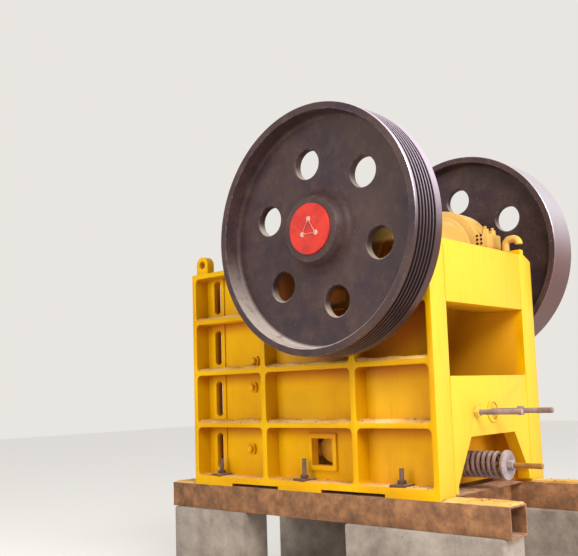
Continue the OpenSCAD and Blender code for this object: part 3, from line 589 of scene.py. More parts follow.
YELLOW = YellowEnamel("yellow_enamel_on_plate", "yellow_paint")
YELLOW_CAST = YellowEnamel(
    "yellow_enamel_on_castings", "yellow_paint",
    body="#e4b866", pale="#f2d08c", deep="#d0a252", shaded="#d0a252", dust="#e6c898", cast=True,
)
IRON = BlackIronPaint("black_painted_cast_iron", "black_cast_iron")
IRON_TURNED = BlackIronPaint(
    "black_cast_iron_with_bright_tread", "black_cast_iron", tread_below="#7a5a56", tread_above="#cfc6d0"
)
RED = RedEnamel("red_enamel", "red_paint")
BOLT_WASHED = RedEnamel("red_washed_bolt_heads", "red_paint", body="#e9b5a6", dark="#c98f82", dust="#efd9cd")
STEEL = WornSteel("worn_steel", "bare_steel")
MANGANESE = WornSteel("manganese_steel", "manganese_steel", body="#77706a", dark="#4b443f")
RUST = RustySteel("rusty_rolled_steel", "rusty_steel")
BOLT_RUST = RustySteel("rusty_bolts", "rusty_steel", "#6a4a38", "#3f2f28", "#8a6146")
SPRING = RustySteel("dusty_spring_steel", "bare_steel", "#836963", "#55413f", "#a48a80", "#c6b2a8")
WASHER = RustySteel("dusty_washer_steel", "bare_steel", "#9b8988", "#746465", "#b3a3a1", "#c4b3ac")
ROD = RustySteel("oiled_rod_steel", "rusty_steel", "#a5722e", "#6c4523", "#bd8b45", "#bb9a78")
SCREW = RustySteel("dusty_screw_steel", "rusty_steel", "#a08579", "#7a5f56", "#b89d90", "#c2aa9c")
CONCRETE = CastConcrete("board_cast_concrete", "concrete")
STONE = CastConcrete("limestone_crumbs", "concrete", "#a3856b", "#7b6252", "#c2a88e")
DUST = CastConcrete("stone_dust", "concrete", "#e6b55a", "#b98a42", "#f0cb84")


# Stage


@dataclass
class Studio:
    """Floor, soft light and the camera at the photograph's place; lengths are metres."""

    focus_px: float = 816.8625
    yaw_deg: float = 41.7416
    pitch_deg: float = 6.3893
    roll_deg: float = -1.8542
    place: tuple[float, float, float] = (4.1094, -5.49, 1.6521)
    centre_px: tuple[float, float] = (6.9595, 22.7076)
    image_px: tuple[int, int] = (578, 556)
    sensor_mm: float = 36.0
    floor_size: float = 60.0
    floor_lift: float = 0.36
    sky_light: float = 0.48
    paper: str = "#e9e6e1"

    def build(self) -> None:
        """Sets up camera, lamps, world and floor."""
        bpy.context.scene.view_settings.view_transform = "Standard"
        self.camera()
        self.lamp("key", (6.5, -3.4, 7.0), (0.2, 0.0, 1.8), size=4.5, power=780.0)
        self.lamp("fill", (-2.5, -8.5, 4.0), (0.0, 0.0, 1.8), size=5.0, power=260.0)
        self.lamp("rear_fill", (6.0, 0.4, 1.9), (0.2, 0.0, 1.9), size=2.0, power=110.0)
        self.world()
        self.floor()

    def camera(self) -> None:
        """Places the camera as the lines of the photograph give it."""
        data = bpy.data.cameras.new("camera")
        data.sensor_width = self.sensor_mm
        data.lens = self.focus_px * self.sensor_mm / self.image_px[0]
        data.shift_x = -self.centre_px[0] / self.image_px[0]
        data.shift_y = self.centre_px[1] / self.image_px[0]
        data.clip_start = 0.1
        data.clip_end = 200.0
        yaw, pitch, roll = (math.radians(a) for a in (self.yaw_deg, self.pitch_deg, self.roll_deg))
        ahead = Vector((-math.sin(yaw) * math.cos(pitch), math.cos(yaw) * math.cos(pitch), math.sin(pitch)))
        level = Vector((math.cos(yaw), math.sin(yaw), 0.0))
        upright = level.cross(ahead)
        right = math.cos(roll) * level + math.sin(roll) * upright
        up = -math.sin(roll) * level + math.cos(roll) * upright
        turn = Matrix((right, up, -ahead)).transposed()
        camera = in_scene("camera", data)
        camera.matrix_world = Matrix.Translation(self.place) @ turn.to_4x4()
        bpy.context.scene.camera = camera

    def lamp(
        self, name: str, place: Sequence[float], target: Sequence[float], size: float, power: float
    ) -> None:
        """Adds one soft box that looks at a point.

        Args:
            name: name of the lamp.
            place: where it hangs.
            target: what it looks at.
            size: length of its sides.
            power: its power in watts.
        """
        data = bpy.data.lights.new(name, "AREA")
        data.shape = "SQUARE"
        data.size = size
        data.energy = power
        away = Vector(place) - Vector(target)
        in_scene(name, data).matrix_world = between(Vector(place), Vector(place) + away)

    def world(self) -> None:
        """Makes the sky an even pale grey that camera and glossy rays see brighter than it lights."""
        world = bpy.data.worlds.new("studio")
        bpy.context.scene.world = world
        world.use_nodes = True
        wires = Wires(world.node_tree)
        wires.tree.nodes.clear()
        rays = wires.node("ShaderNodeLightPath")
        seen = wires.node("ShaderNodeBackground", {"Color": linear(self.paper), "Strength": 1.0})
        settings = {"Color": linear("#ffffff"), "Strength": self.sky_light}
        light = wires.node("ShaderNodeBackground", settings)
        links = {0: rays.outputs["Is Camera Ray"], 1: rays.outputs["Is Glossy Ray"]}
        shiny = wires.node("ShaderNodeMath", {"operation": "MAXIMUM"}, links)
        mixed = wires.node("ShaderNodeMixShader", links={0: shiny, 1: light, 2: seen})
        wires.node("ShaderNodeOutputWorld", links={"Surface": mixed})

    def floor(self) -> None:
        """Adds the pale floor under the piers, lifted a little for the camera alone."""
        material = bpy.data.materials.new("pale_floor")
        material.use_nodes = True
        wires = Wires(material.node_tree, material.node_tree.nodes["Principled BSDF"])
        paper = linear(self.paper)
        seen = wires.node("ShaderNodeLightPath").outputs["Is Camera Ray"]
        lift = wires.product(seen, self.floor_lift)
        wires.surface(Base_Color=paper, Roughness=0.9, Emission_Color=paper, Emission_Strength=lift)
        bm = bmesh.new()
        bmesh.ops.create_grid(bm, x_segments=1, y_segments=1, size=self.floor_size / 2)
        mesh = bpy.data.meshes.new("floor")
        bm.to_mesh(mesh)
        bm.free()
        mesh.materials.append(material)
        floor = in_scene("floor", mesh)
        floor.location.z = -0.001


# Shapes that pieces are made of


def move_into(bm: BMesh, part: BMesh) -> None:
    """Moves what one mesh holds into another, and frees it."""
    held = bpy.data.meshes.new("held")
    part.to_mesh(held)
    part.free()
    bm.from_mesh(held)
    bpy.data.meshes.remove(held)


def bevel(bm: BMesh, geom: list, offset: float, segments: int = 1, affect: str = "EDGES") -> None:
    """Breaks edges or corners; the offset is in the mesh's own unit."""
    bmesh.ops.bevel(
        bm, geom=geom, offset=offset, segments=segments, profile=0.5, affect=affect,
        material=-1, clamp_overlap=True,
    )


def spin(bm: BMesh, angle_deg: float, steps: int, rise: float = 0.0) -> None:
    """Spins the edges of a mesh round Z, closes it and turns its faces outwards.

    Args:
        bm: mesh with the outline, which becomes the skin.
        angle_deg: angle of the whole spin.
        steps: number of steps in it.
        rise: way up along Z in the whole spin, in millimetres.
    """
    bmesh.ops.spin(
        bm, geom=bm.verts[:] + bm.edges[:], cent=(0, 0, 0), axis=(0, 0, 1),
        dvec=(0, 0, rise / steps / 1000), angle=math.radians(angle_deg), steps=steps,
        use_merge=angle_deg == 360 and not rise,
    )
    bmesh.ops.remove_doubles(bm, verts=bm.verts, dist=1e-6)
    bmesh.ops.holes_fill(bm, edges=[e for e in bm.edges if e.is_boundary], sides=0)
    bmesh.ops.recalc_face_normals(bm, faces=bm.faces)


def loop_of(points: Outline, closed: bool = True) -> BMesh:
    """Draws an outline in the XZ plane: x is the radius and z the height, in millimetres."""
    bm = bmesh.new()
    verts = [bm.verts.new((x / 1000, 0.0, z / 1000)) for x, z in points]
    for one, other in zip(verts, verts[1:]):
        bm.edges.new((one, other))
    if closed:
        bm.edges.new((verts[-1], verts[0]))
    return bm


def turned(points: Outline, steps: int, closed: bool = False) -> BMesh:
    """Turns an outline round the Z axis, as on a lathe.

    Args:
        points: radius and height of the outline's corners, in millimetres.
        steps: number of steps round.
        closed: whether the outline is a ring section, and not a line from pole to pole.

    Returns:
        The closed skin, with its faces outwards.
    """
    bm = loop_of(points, closed)
    spin(bm, 360, steps)
    return bm


def softened(points: Outline, radius: float, segments: int = 2) -> Outline:
    """Rounds every corner of a closed outline.

    Args:
        points: corners in millimetres.
        radius: offset of the rounding from each corner.
        segments: number of steps in each corner.

    Returns:
        The corners of the rounded outline, in order.
    """
    bm = bmesh.new()
    face = bm.faces.new([bm.verts.new((x, 0.0, z)) for x, z in points])
    bevel(bm, face.verts[:], radius, segments, "VERTICES")
    bm.faces.ensure_lookup_table()
    outline = [(v.co.x, v.co.z) for v in bm.faces[0].verts]
    bm.free()
    return outline


def chamfered_hex(across: float, height: float) -> BMesh:
    """Makes a hexagon bar end, its corners turned off at both faces.

    Args:
        across: width across flats, in millimetres.
        height: height along Z, in millimetres.

    Returns:
        The mesh, standing on the origin.
    """
    bm = bmesh.new()
    radius = across / math.sqrt(3) / 1000
    bmesh.ops.create_cone(
        bm, cap_ends=True, segments=6, radius1=radius, radius2=radius, depth=height / 1000
    )
    bmesh.ops.translate(bm, vec=(0, 0, height / 2000), verts=bm.verts)
    rims = [e for e in bm.edges if abs(e.verts[0].co.z - e.verts[1].co.z) < 1e-6]
    bevel(bm, rims, across * 0.045 / 1000)
    return bm


def plain_disc(radius: float, height: float, steps: int = 24, edge: float = 1.0) -> BMesh:
    """Makes a round plate on the origin with a small chamfer on its upper edge."""
    outline = [(0, 0), (radius, 0), (radius, height - edge), (radius - edge, height), (0, height)]
    return turned(outline, steps)


def round_bar(radius: float, length: float, steps: int, edge: float = 1.5) -> BMesh:
    """Makes a round bar from the origin up, with both ends chamfered."""
    outline = [(0, 0), (radius - edge, 0), (radius, edge), (radius, length - edge), (radius - edge, length)]
    return turned(outline + [(0, length)], steps)


def thread(radius: float, length: float, pitch: float, steps: int = 20) -> BMesh:
    """Cuts a screw thread by spinning one flank pair along its helix.

    Args:
        radius: outer radius, in millimetres.
        length: threaded length along Z, in millimetres.
        pitch: rise of one turn, in millimetres.
        steps: steps in one turn.

    Returns:
        The threaded bar from the origin up, with closed ends.
    """
    root = radius - 0.6 * pitch
    turns = max(1, int(length / pitch) - 1)
    bm = loop_of([(root, 0), (radius, pitch * 0.45), (radius, pitch * 0.55), (root, pitch)], closed=False)
    spin(bm, 360 * turns, steps * turns, pitch * turns)
    move_into(bm, round_bar(root + 0.2, length, steps))
    return bm


@dataclass
class Piece:
    """A mesh in the making, and how it is set in the scene."""

    name: str
    finish: Finish
    body: Body = Body.FRAME
    replaces: tuple[str, ...] = ()
    smooth_deg: float = 30.0
    bm: BMesh = field(default_factory=bmesh.new)

    def take(self, part: BMesh, where: Matrix | None = None) -> None:
        """Adds another mesh to this one and frees it.

        Args:
            part: mesh to add.
            where: its place, if it isn't there yet.
        """
        if where is not None:
            bmesh.ops.transform(part, matrix=where, verts=part.verts)
        move_into(self.bm, part)

    def place(self) -> bpy.types.Object:
        """Turns the mesh into an object that rides on its body.

        Returns:
            The finished object.
        """
        mesh = bpy.data.meshes.new(self.name)
        self.bm.to_mesh(mesh)
        self.bm.free()
        mesh.materials.append(self.finish.build())
        mesh.polygons.foreach_set("use_smooth", [True] * len(mesh.polygons))
        mesh.set_sharp_from_angle(angle=math.radians(self.smooth_deg))
        piece = in_scene(self.name, mesh)
        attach(piece, self.body.value)
        if self.replaces:
            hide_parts(*self.replaces)
        LOG.info("%s: %d faces", self.name, len(mesh.polygons))
        return piece


# Pieces; lengths are millimetres


@dataclass
class EdgedNode:
    """A CAD node as the workshop leaves it: the same solid with its sharp edges broken."""

    node: str
    finish: Finish
    body: Body = Body.FRAME
    edge: float = 4.0
    segments: int = 2
    sharp_deg: float = 32.0

    def build(self) -> None:
        """Copies the node, rounds its sharp edges and puts the copy in its place."""
        bm = bmesh.new()
        bm.from_mesh(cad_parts[self.node].data)
        bmesh.ops.remove_doubles(bm, verts=bm.verts, dist=1e-5)
        bmesh.ops.dissolve_limit(
            bm, angle_limit=math.radians(0.5), use_dissolve_boundaries=False, verts=bm.verts,
            edges=bm.edges, delimit=set(),
        )
        limit = math.radians(self.sharp_deg)
        sharp = [e for e in bm.edges if len(e.link_faces) == 2 and e.calc_face_angle(0.0) > limit]
        bevel(bm, sharp, self.edge / 1000, self.segments)
        Piece(self.node + "_edged", self.finish, self.body, (self.node,), bm=bm).place()


@dataclass
class Wheel:
    """One cast wheel: rim, web with round holes, and hub, turned and bored."""

    side: Side
    finish: Finish
    grooved: bool
    first_hole_deg: float
    rim_r: float = 905.0
    rim_t: float = 55.0
    rim_in_y: float = 860.0
    rim_out_y: float = 1180.0
    rim_edge: float = 5.0
    web_in_y: float = 965.0
    web_out_y: float = 1035.0
    hub_in_y: float = 835.0
    hub_out_y: float = 1160.0
    hub_r: float = 240.0
    hub_edge: float = 6.0
    root_r: float = 280.0
    bore_r: float = 130.3
    hub_fillet: float = 56.0
    rim_fillet: float = 30.0
    holes: int = 6
    hole_r: float = 112.0
    hole_circle: float = 532.0
    hole_flare: float = 7.0
    grooves: int = 6
    groove_pitch: float = 37.0
    groove_depth: float = 30.0
    groove_margin: float = 25.0
    steps: int = 192

    def rim_top(self) -> Outline:
        """Lists the corners of the rim's outer face, from its inner edge outwards."""
        corners = [(self.rim_r, self.rim_in_y)]
        shape = ((-0.41, 0), (-0.2, self.groove_depth), (0.2, self.groove_depth), (0.41, 0))
        for i in reversed(range(self.grooves if self.grooved else 0)):
            middle = self.rim_out_y - self.groove_margin - (i + 0.5) * self.groove_pitch
            corners += [(self.rim_r - down, middle + across * self.groove_pitch) for across, down in shape]
        corners.append((self.rim_r, self.rim_out_y))
        return corners

    def fillet(self, r: float, y: float, turn_r: int, turn_y: int, radius: float) -> Outline:
        """Lists a round inner corner between a web face and a wall.

        Args:
            r: radius of the wall.
            y: place of the web face.
            turn_r: 1 where the space lies at larger radii than the wall, else -1.
            turn_y: 1 where it lies outward of the web, else -1.
            radius: radius of the corner.

        Returns:
            Points from the web face to the wall.
        """
        points = []
        for i in range(7):
            a = math.radians(90 * i / 6)
            away = radius * (1 - math.cos(a))
            along = radius * (1 - math.sin(a))
            points.append((r + turn_r * along, y + turn_y * away))
        return points

    def section(self) -> Outline:
        """Lists the wheel's half section as radius and distance from the middle plane."""
        inner = self.rim_r - self.rim_t
        edge = self.rim_edge
        corners = [(inner, self.rim_in_y + edge), (inner + edge, self.rim_in_y)]
        top = self.rim_top()
        corners += [(top[0][0] - edge, top[0][1]), (top[0][0], top[0][1] + edge)]
        corners += top[1:-1]
        corners += [(top[-1][0], top[-1][1] - edge), (top[-1][0] - edge, top[-1][1])]
        corners += [(inner + edge, self.rim_out_y), (inner, self.rim_out_y - edge)]
        corners += reversed(self.fillet(inner, self.web_out_y, -1, 1, self.rim_fillet))
        corners += self.hub_outline(self.web_out_y, self.hub_out_y, 1)
        corners += reversed(self.hub_outline(self.web_in_y, self.hub_in_y, -1))
        corners += self.fillet(inner, self.web_in_y, -1, -1, self.rim_fillet)
        return corners

    def hub_outline(self, web_y: float, face_y: float, turn: int) -> Outline:
        """Lists the cone of the hub from the web's face to the bore."""
        edge = self.hub_edge
        root = self.fillet(self.root_r, web_y, 1, turn, self.hub_fillet)
        lean = (self.hub_r - self.root_r) / abs(face_y - web_y)
        shaped = [(r + lean * abs(y - web_y), y) for r, y in root]
        rim = [(self.hub_r, face_y - turn * edge), (self.hub_r - edge, face_y)]
        return shaped + rim + [(self.bore_r, face_y)]

    def build(self) -> None:
        """Turns the wheel and bores its holes."""
        name = "grooved_wheel" if self.grooved else "plain_wheel"
        bm = turned(self.section(), self.steps, closed=True)
        flip = TO_Y if self.side is Side.FAR else Matrix.Scale(-1, 4, (0, 1, 0)) @ TO_Y
        where = stand_at(SHAFT_U, 0, SHAFT_W, flip)
        bmesh.ops.transform(bm, matrix=where, verts=bm.verts)
        bmesh.ops.recalc_face_normals(bm, faces=bm.faces)
        piece = Piece(name + "_turned", self.finish, Body.ROTOR, (name,), bm=bm)
        self.bore(piece.place(), where, piece.smooth_deg)

    def cutters(self, where: Matrix) -> BMesh:
        """Makes one cutter for each round hole, flared at both faces of the web."""
        wide = self.hole_r + self.hole_flare + 30
        low = self.web_in_y
        high = self.web_out_y
        outline = [
            (0, low - 30), (wide, low - 30), (self.hole_r, low + self.hole_flare),
            (self.hole_r, high - self.hole_flare), (wide, high + 30), (0, high + 30),
        ]
        cutters = bmesh.new()
        for i in range(self.holes):
            one = turned(outline, 48)
            angle = -math.radians(self.first_hole_deg + i * 360 / self.holes)
            shift = Matrix.Rotation(angle, 4, "Z") @ Matrix.Translation(mm(self.hole_circle, 0, 0))
            bmesh.ops.transform(one, matrix=where @ shift, verts=one.verts)
            move_into(cutters, one)
        bmesh.ops.recalc_face_normals(cutters, faces=cutters.faces)
        return cutters

    def bore(self, wheel: bpy.types.Object, where: Matrix, smooth_deg: float) -> None:
        """Cuts the round holes out of the wheel's mesh.

        Args:
            wheel: object of the wheel.
            where: place and turn of the wheel.
            smooth_deg: angle up to which its faces are shaded as one.
        """
        mesh = bpy.data.meshes.new("cutters")
        cutters = self.cutters(where)
        cutters.to_mesh(mesh)
        cutters.free()
        tool = in_scene("cutters", mesh)
        cut = wheel.modifiers.new("bore", "BOOLEAN")
        cut.operation = "DIFFERENCE"
        cut.solver = "EXACT"
        cut.object = tool
        graph = bpy.context.evaluated_depsgraph_get()
        bored = bpy.data.meshes.new_from_object(wheel.evaluated_get(graph))
        wheel.modifiers.clear()
        old = wheel.data
        wheel.data = bored
        bored.set_sharp_from_angle(angle=math.radians(smooth_deg))
        bpy.data.meshes.remove(old)
        bpy.data.objects.remove(tool)
        bpy.data.meshes.remove(mesh)


@dataclass
class ShaftCap:
    """Three bolts on the red disc of a shaft end, and the lock wire between them."""

    side: Side
    bolt_circle: float = 71.0
    cap_face_y: float = 1174.0
    washer_r: float = 19.0
    washer_t: float = 3.0
    head_across: float = 28.0
    head_h: float = 4.0
    wire_d: float = 4.0
    wire_out: float = 5.0
    bolts_deg: tuple[float, ...] = (0.0, 120.0, 240.0)

    def at(self, angle_deg: float, y: float) -> Vector:
        """Gives a place on the cap at an angle from the top."""
        a = math.radians(angle_deg)
        across = self.bolt_circle * math.sin(a)
        return in_frame(SHAFT_U + across, self.side.value * y, SHAFT_W + self.bolt_circle * math.cos(a))

    def build(self) -> None:
        """Makes the bolts and the wire."""
        heads = Piece("shaft_cap_bolts_" + self.side.label, BOLT_WASHED, Body.ROTOR)
        for angle in self.bolts_deg:
            place = Matrix.Translation(self.at(angle, self.cap_face_y)) @ self.side.outward
            heads.take(plain_disc(self.washer_r, self.washer_t), place)
            heads.take(chamfered_hex(self.head_across, self.head_h), place)
        corners = [self.at(angle, self.cap_face_y + self.wire_out) for angle in self.bolts_deg]
        for one, other in zip(corners, corners[1:] + corners[:1]):
            wire = plain_disc(self.wire_d / 2, (other - one).length * 1000, 8, 0.4)
            heads.take(wire, between(one, other))
        heads.place()


@dataclass
class Bolting:
    """Rows of nuts or bolt heads of one size, with washers and stud ends where they have them."""

    name: str
    across: float
    nut_h: float
    washer_r: float = 0.0
    stud_r: float = 0.0
    stud_out: float = 0.0
    square_washer: float = 0.0
    finish: Finish = YELLOW_CAST
    body: Body = Body.FRAME
    washer_t: float = 4.0
    plate_t: float = 18.0
    plate_edge: float = 2.0
    skew_deg: float = 14.0
    pitch: float = 4.0
    spots: list[Matrix] = field(default_factory=list)

    def add(self, place: Vector, turn: Matrix) -> None:
        """Notes one more place; turn takes +Z to the way the bolt points."""
        self.spots.append(Matrix.Translation(place) @ turn)

    def plate(self) -> BMesh:
        """Makes one square washer, cut from plate."""
        plate = bmesh.new()
        bmesh.ops.create_cube(plate, size=1.0)
        size = mm(self.square_washer, self.square_washer, self.plate_t)
        bmesh.ops.scale(plate, vec=size, verts=plate.verts)
        bmesh.ops.translate(plate, vec=mm(0, 0, self.plate_t / 2), verts=plate.verts)
        bevel(plate, plate.edges[:], self.plate_edge / 1000)
        return plate

    def build(self) -> None:
        """Makes all the bolts of the row as one piece; square washers lie a little askew."""
        rng = random.Random(self.name)
        row = Piece(self.name, self.finish, self.body)
        for stand in self.spots:
            base = 0.0
            if self.square_washer:
                base = self.plate_t
                askew = math.radians(rng.uniform(-self.skew_deg, self.skew_deg))
                row.take(self.plate(), stand @ Matrix.Rotation(askew, 4, "Z"))
            elif self.washer_r:
                base = self.washer_t
                row.take(plain_disc(self.washer_r, base), stand)
            spun = Matrix.Rotation(rng.uniform(0, math.pi / 3), 4, "Z")
            up = Matrix.Translation(mm(0, 0, base))
            row.take(chamfered_hex(self.across, self.nut_h), stand @ up @ spun)
            if self.stud_out:
                top = Matrix.Translation(mm(0, 0, base + self.nut_h - 2))
                row.take(thread(self.stud_r, self.stud_out, self.pitch), stand @ top @ spun)
        row.place()


@dataclass
class CoilSpring:
    """Tension spring: round wire wound seven turns round the rod."""

    start_u: float = 2161.3
    length: float = 332.4
    wire_r: float = 15.0
    coil_r: float = 85.0
    turns: int = 7
    steps: int = 40

    def build(self) -> None:
        """Sweeps the wire's section along the helix and closes its ends."""
        bm = bmesh.new()
        bmesh.ops.create_circle(bm, cap_ends=False, segments=14, radius=self.wire_r / 1000)
        upright = Matrix.Translation(mm(self.coil_r, 0, 0)) @ Matrix.Rotation(math.radians(90), 4, "X")
        bmesh.ops.transform(bm, matrix=upright, verts=bm.verts)
        spin(bm, 360 * self.turns, self.steps * self.turns, self.length - 2 * self.wire_r)
        where = stand_at(self.start_u + self.wire_r, 0, ROD_W, TO_X)
        bmesh.ops.transform(bm, matrix=where, verts=bm.verts)
        Piece("tension_spring_coil", SPRING, Body.PITMAN, ("tension_spring",), bm=bm).place()


@dataclass
class RearScrews:
    """The near and the middle screw over the spring, each with its nut."""

    screw_r: float = 20.0
    from_u: float = 2180.0
    nut_across: float = 65.0
    nut_h: float = 36.0
    near_y: float = -246.0
    near_end_u: float = 2800.0
    middle_end_u: float = 2910.0
    middle_nut_u: float = 2646.0

    def build(self) -> None:
        """Makes the screws as one piece that stands for the CAD ones, and their nuts beside it."""
        screws = Piece("adjusting_screws_threaded", SCREW, Body.FRAME, ("adjusting_screws",))
        rows = (
            ("near", self.near_y, REAR_U, self.near_end_u, YELLOW_CAST),
            ("middle", 0.0, self.middle_nut_u, self.middle_end_u, SCREW),
        )
        for label, y, nut_u, end_u, finish in rows:
            inside = round_bar(self.screw_r, REAR_U - self.from_u, 24)
            screws.take(inside, stand_at(self.from_u, y, SCREWS_W, TO_X))
            screws.take(thread(self.screw_r, end_u - REAR_U, 4.0), stand_at(REAR_U, y, SCREWS_W, TO_X))
            nut = Piece("adjusting_nut_" + label, finish)
            nut.take(chamfered_hex(self.nut_across, self.nut_h), stand_at(nut_u, y, SCREWS_W, TO_X))
            nut.place()
        screws.place()


@dataclass
class TensionRod:
    """Rod through the spring, threaded where its washer and nut sit, with its cross pin."""

    rod_r: float = 20.0
    pin_r: float = 25.0
    pin_len: float = 200.0
    from_u: float = 1000.0
    thread_u: float = 2500.0
    end_u: float = 2807.0
    nut_u: float = 2544.0
    nut_across: float = 66.0
    nut_h: float = 45.0
    nut_deg: float = 13.0

    def build(self) -> None:
        """Makes rod and nut in the CAD ones' place."""
        rod = Piece("tension_rod_threaded", ROD, Body.PITMAN, ("tension_rod",))
        plain = round_bar(self.rod_r, self.thread_u - self.from_u, 28)
        rod.take(plain, stand_at(self.from_u, 0, ROD_W, TO_X))
        cut = thread(self.rod_r, self.end_u - self.thread_u, 4.5, 24)
        rod.take(cut, stand_at(self.thread_u, 0, ROD_W, TO_X))
        pin = round_bar(self.pin_r, self.pin_len, 28, 3)
        rod.take(pin, stand_at(self.from_u, -self.pin_len / 2, ROD_W, TO_Y))
        rod.place()
        nut = Piece("tension_nut_chamfered", WASHER, Body.PITMAN, ("tension_nut",))
        askew = Matrix.Rotation(math.radians(self.nut_deg), 4, "Z")
        nut.take(chamfered_hex(self.nut_across, self.nut_h), stand_at(self.nut_u, 0, ROD_W, TO_X @ askew))
        nut.place()


@dataclass
class SideFasteners:
    """All nuts and bolts of one side: anchors, bearing studs, cover bolts and cheek bolts."""

    side: Side
    anchors: tuple[tuple[float, float], ...] = ((258, 92), (1188, 122), (2092, 82))
    anchor_y: float = 702.0
    stud_out_u: float = 408.0
    stud_ys: tuple[float, float] = (625.0, 750.0)
    cap_foot_w: float = 2018.0
    stud_head_y: float = 706.0
    seat_bolts_u: tuple[float, ...] = (2082.0, 2118.0)
    seat_bolts_w: tuple[float, ...] = (1938.0, 1972.0, 2006.0)
    cheek_bolts_at: tuple[tuple[float, float], ...] = ((612, 1019), (586, 803), (550, 296), (640, 1400))

    def at(self, u: float, y: float, w: float) -> Vector:
        """Gives a place on this side; y is the distance from the middle plane."""
        return in_frame(u, self.side.value * y, w)

    def build(self) -> None:
        """Makes every row of this side."""
        self.anchor_bolts()
        self.bearing_studs()
        self.ring("bearing", Body.FRAME, count=12, first_deg=15, radius=238, y=815, w=SHAFT_W)
        self.ring("barrel", Body.PITMAN, count=16, first_deg=0, radius=305, y=515, w=SHAFT_W - ECCENTRIC)
        self.seat_bolts()
        self.cheek_bolts()

    def anchor_bolts(self) -> None:
        """Makes the anchors on the foot flange; each stands out of its nut by its own length."""
        for i, (u, out) in enumerate(self.anchors):
            anchor = Bolting(
                f"anchor_bolt_{self.side.label}_{i + 1}", across=55, nut_h=29, stud_r=18,
                stud_out=out, square_washer=130, finish=BOLT_RUST,
            )
            anchor.add(self.at(u, self.anchor_y, FOOT_TOP_W), Matrix.Identity(4))
            anchor.build()

    def bearing_studs(self) -> None:
        """Makes the studs of the bearing cap's feet, and the heads under the top flange."""
        label = self.side.label
        size = {"across": 50, "stud_r": 15}
        studs = Bolting(f"bearing_studs_{label}", nut_h=40, washer_r=29, stud_out=26, **size)
        heads = Bolting(f"bearing_stud_heads_{label}", nut_h=28, washer_r=30, **size)
        for u in (SHAFT_U - self.stud_out_u, SHAFT_U + self.stud_out_u):
            for y in self.stud_ys:
                studs.add(self.at(u, y, self.cap_foot_w), Matrix.Identity(4))
            heads.add(self.at(u, self.stud_head_y, FLANGE_UNDER_W), Matrix.Rotation(math.pi, 4, "X"))
        studs.build()
        heads.build()

    def ring(
        self, cover: str, body: Body, count: int, first_deg: float, radius: float, y: float, w: float
    ) -> None:
        """Makes the bolts of a round cover.

        Args:
            cover: which cover it is.
            body: body that carries the cover.
            count: number of bolts.
            first_deg: angle of the first one from the spring end.
            radius: radius of their circle.
            y: distance of the cover's face from the middle plane.
            w: height of the cover's axis above the pads.
        """
        name = f"{cover}_cover_bolts_{self.side.label}"
        bolts = Bolting(name, across=30, nut_h=12, washer_r=19, body=body)
        for i in range(count):
            a = math.radians(first_deg + 360 / count * i)
            spot = self.at(SHAFT_U + radius * math.cos(a), y, w + radius * math.sin(a))
            bolts.add(spot, self.side.outward)
        bolts.build()

    def seat_bolts(self) -> None:
        """Makes two rows of flat heads on the inner face of the bearing's foot."""
        bolts = Bolting(f"bearing_seat_bolts_{self.side.label}", across=20, nut_h=0, washer_r=8)
        for u in self.seat_bolts_u:
            for w in self.seat_bolts_w:
                bolts.add(self.at(u, PLATE_IN_Y, w), self.side.outward.inverted())
        bolts.build()

    def cheek_bolts(self) -> None:
        """Makes the domed bolts that hold the cheek plate, each with a bent lock tab beside it."""
        bolts = Piece("cheek_bolts_" + self.side.label, YELLOW)
        dome = [(0, 0), (44, 0), (44, 7), (34, 10), (32, 26), (25, 36), (12, 41), (0, 42)]
        tab_deg = 96
        tab_section = softened([(46, 0), (57, 0), (57, 24), (46, 24)], 3, 1)
        for u, w in self.cheek_bolts_at:
            place = Matrix.Translation(self.at(u, WEB_OUT_Y, w)) @ self.side.outward
            bolts.take(turned(dome, 28), place)
            tab = loop_of(tab_section)
            spin(tab, tab_deg, 12)
            bolts.take(tab, place @ Matrix.Rotation(math.radians(-tab_deg / 2), 4, "Z"))
        bolts.place()


@dataclass(frozen=True)
class Ledge:
    """A level strip where stone dust comes to lie, between two places along u."""

    u0: float
    u1: float
    lip_y: float
    back_y: float
    w: float
    height: float

    @property
    def length(self) -> float:
        """Length of the strip."""
        return self.u1 - self.u0

    @property
    def width(self) -> float:
        """Width of the strip from its lip to its back."""
        return abs(self.back_y - self.lip_y)

    def rise(self, u: float, y: float) -> float:
        """Gives the height of the dust at a place; it thins out towards the lip.

        Args:
            u: place along the strip.
            y: place across it.

        Returns:
            The height over the ledge, with lumps 140 mm long and finer ones of 30 mm.
        """
        lump = noise.noise(Vector((u / 140, y / 70, self.w / 90 + 0.3)))
        fine = noise.noise(Vector((u / 30, y / 30, self.w / 90 + 7.3)))
        slope = 1 - math.exp(-abs(y - self.lip_y) / 15)
        return self.height * slope * max(0.1, 0.85 + 0.42 * lump + 0.25 * fine)


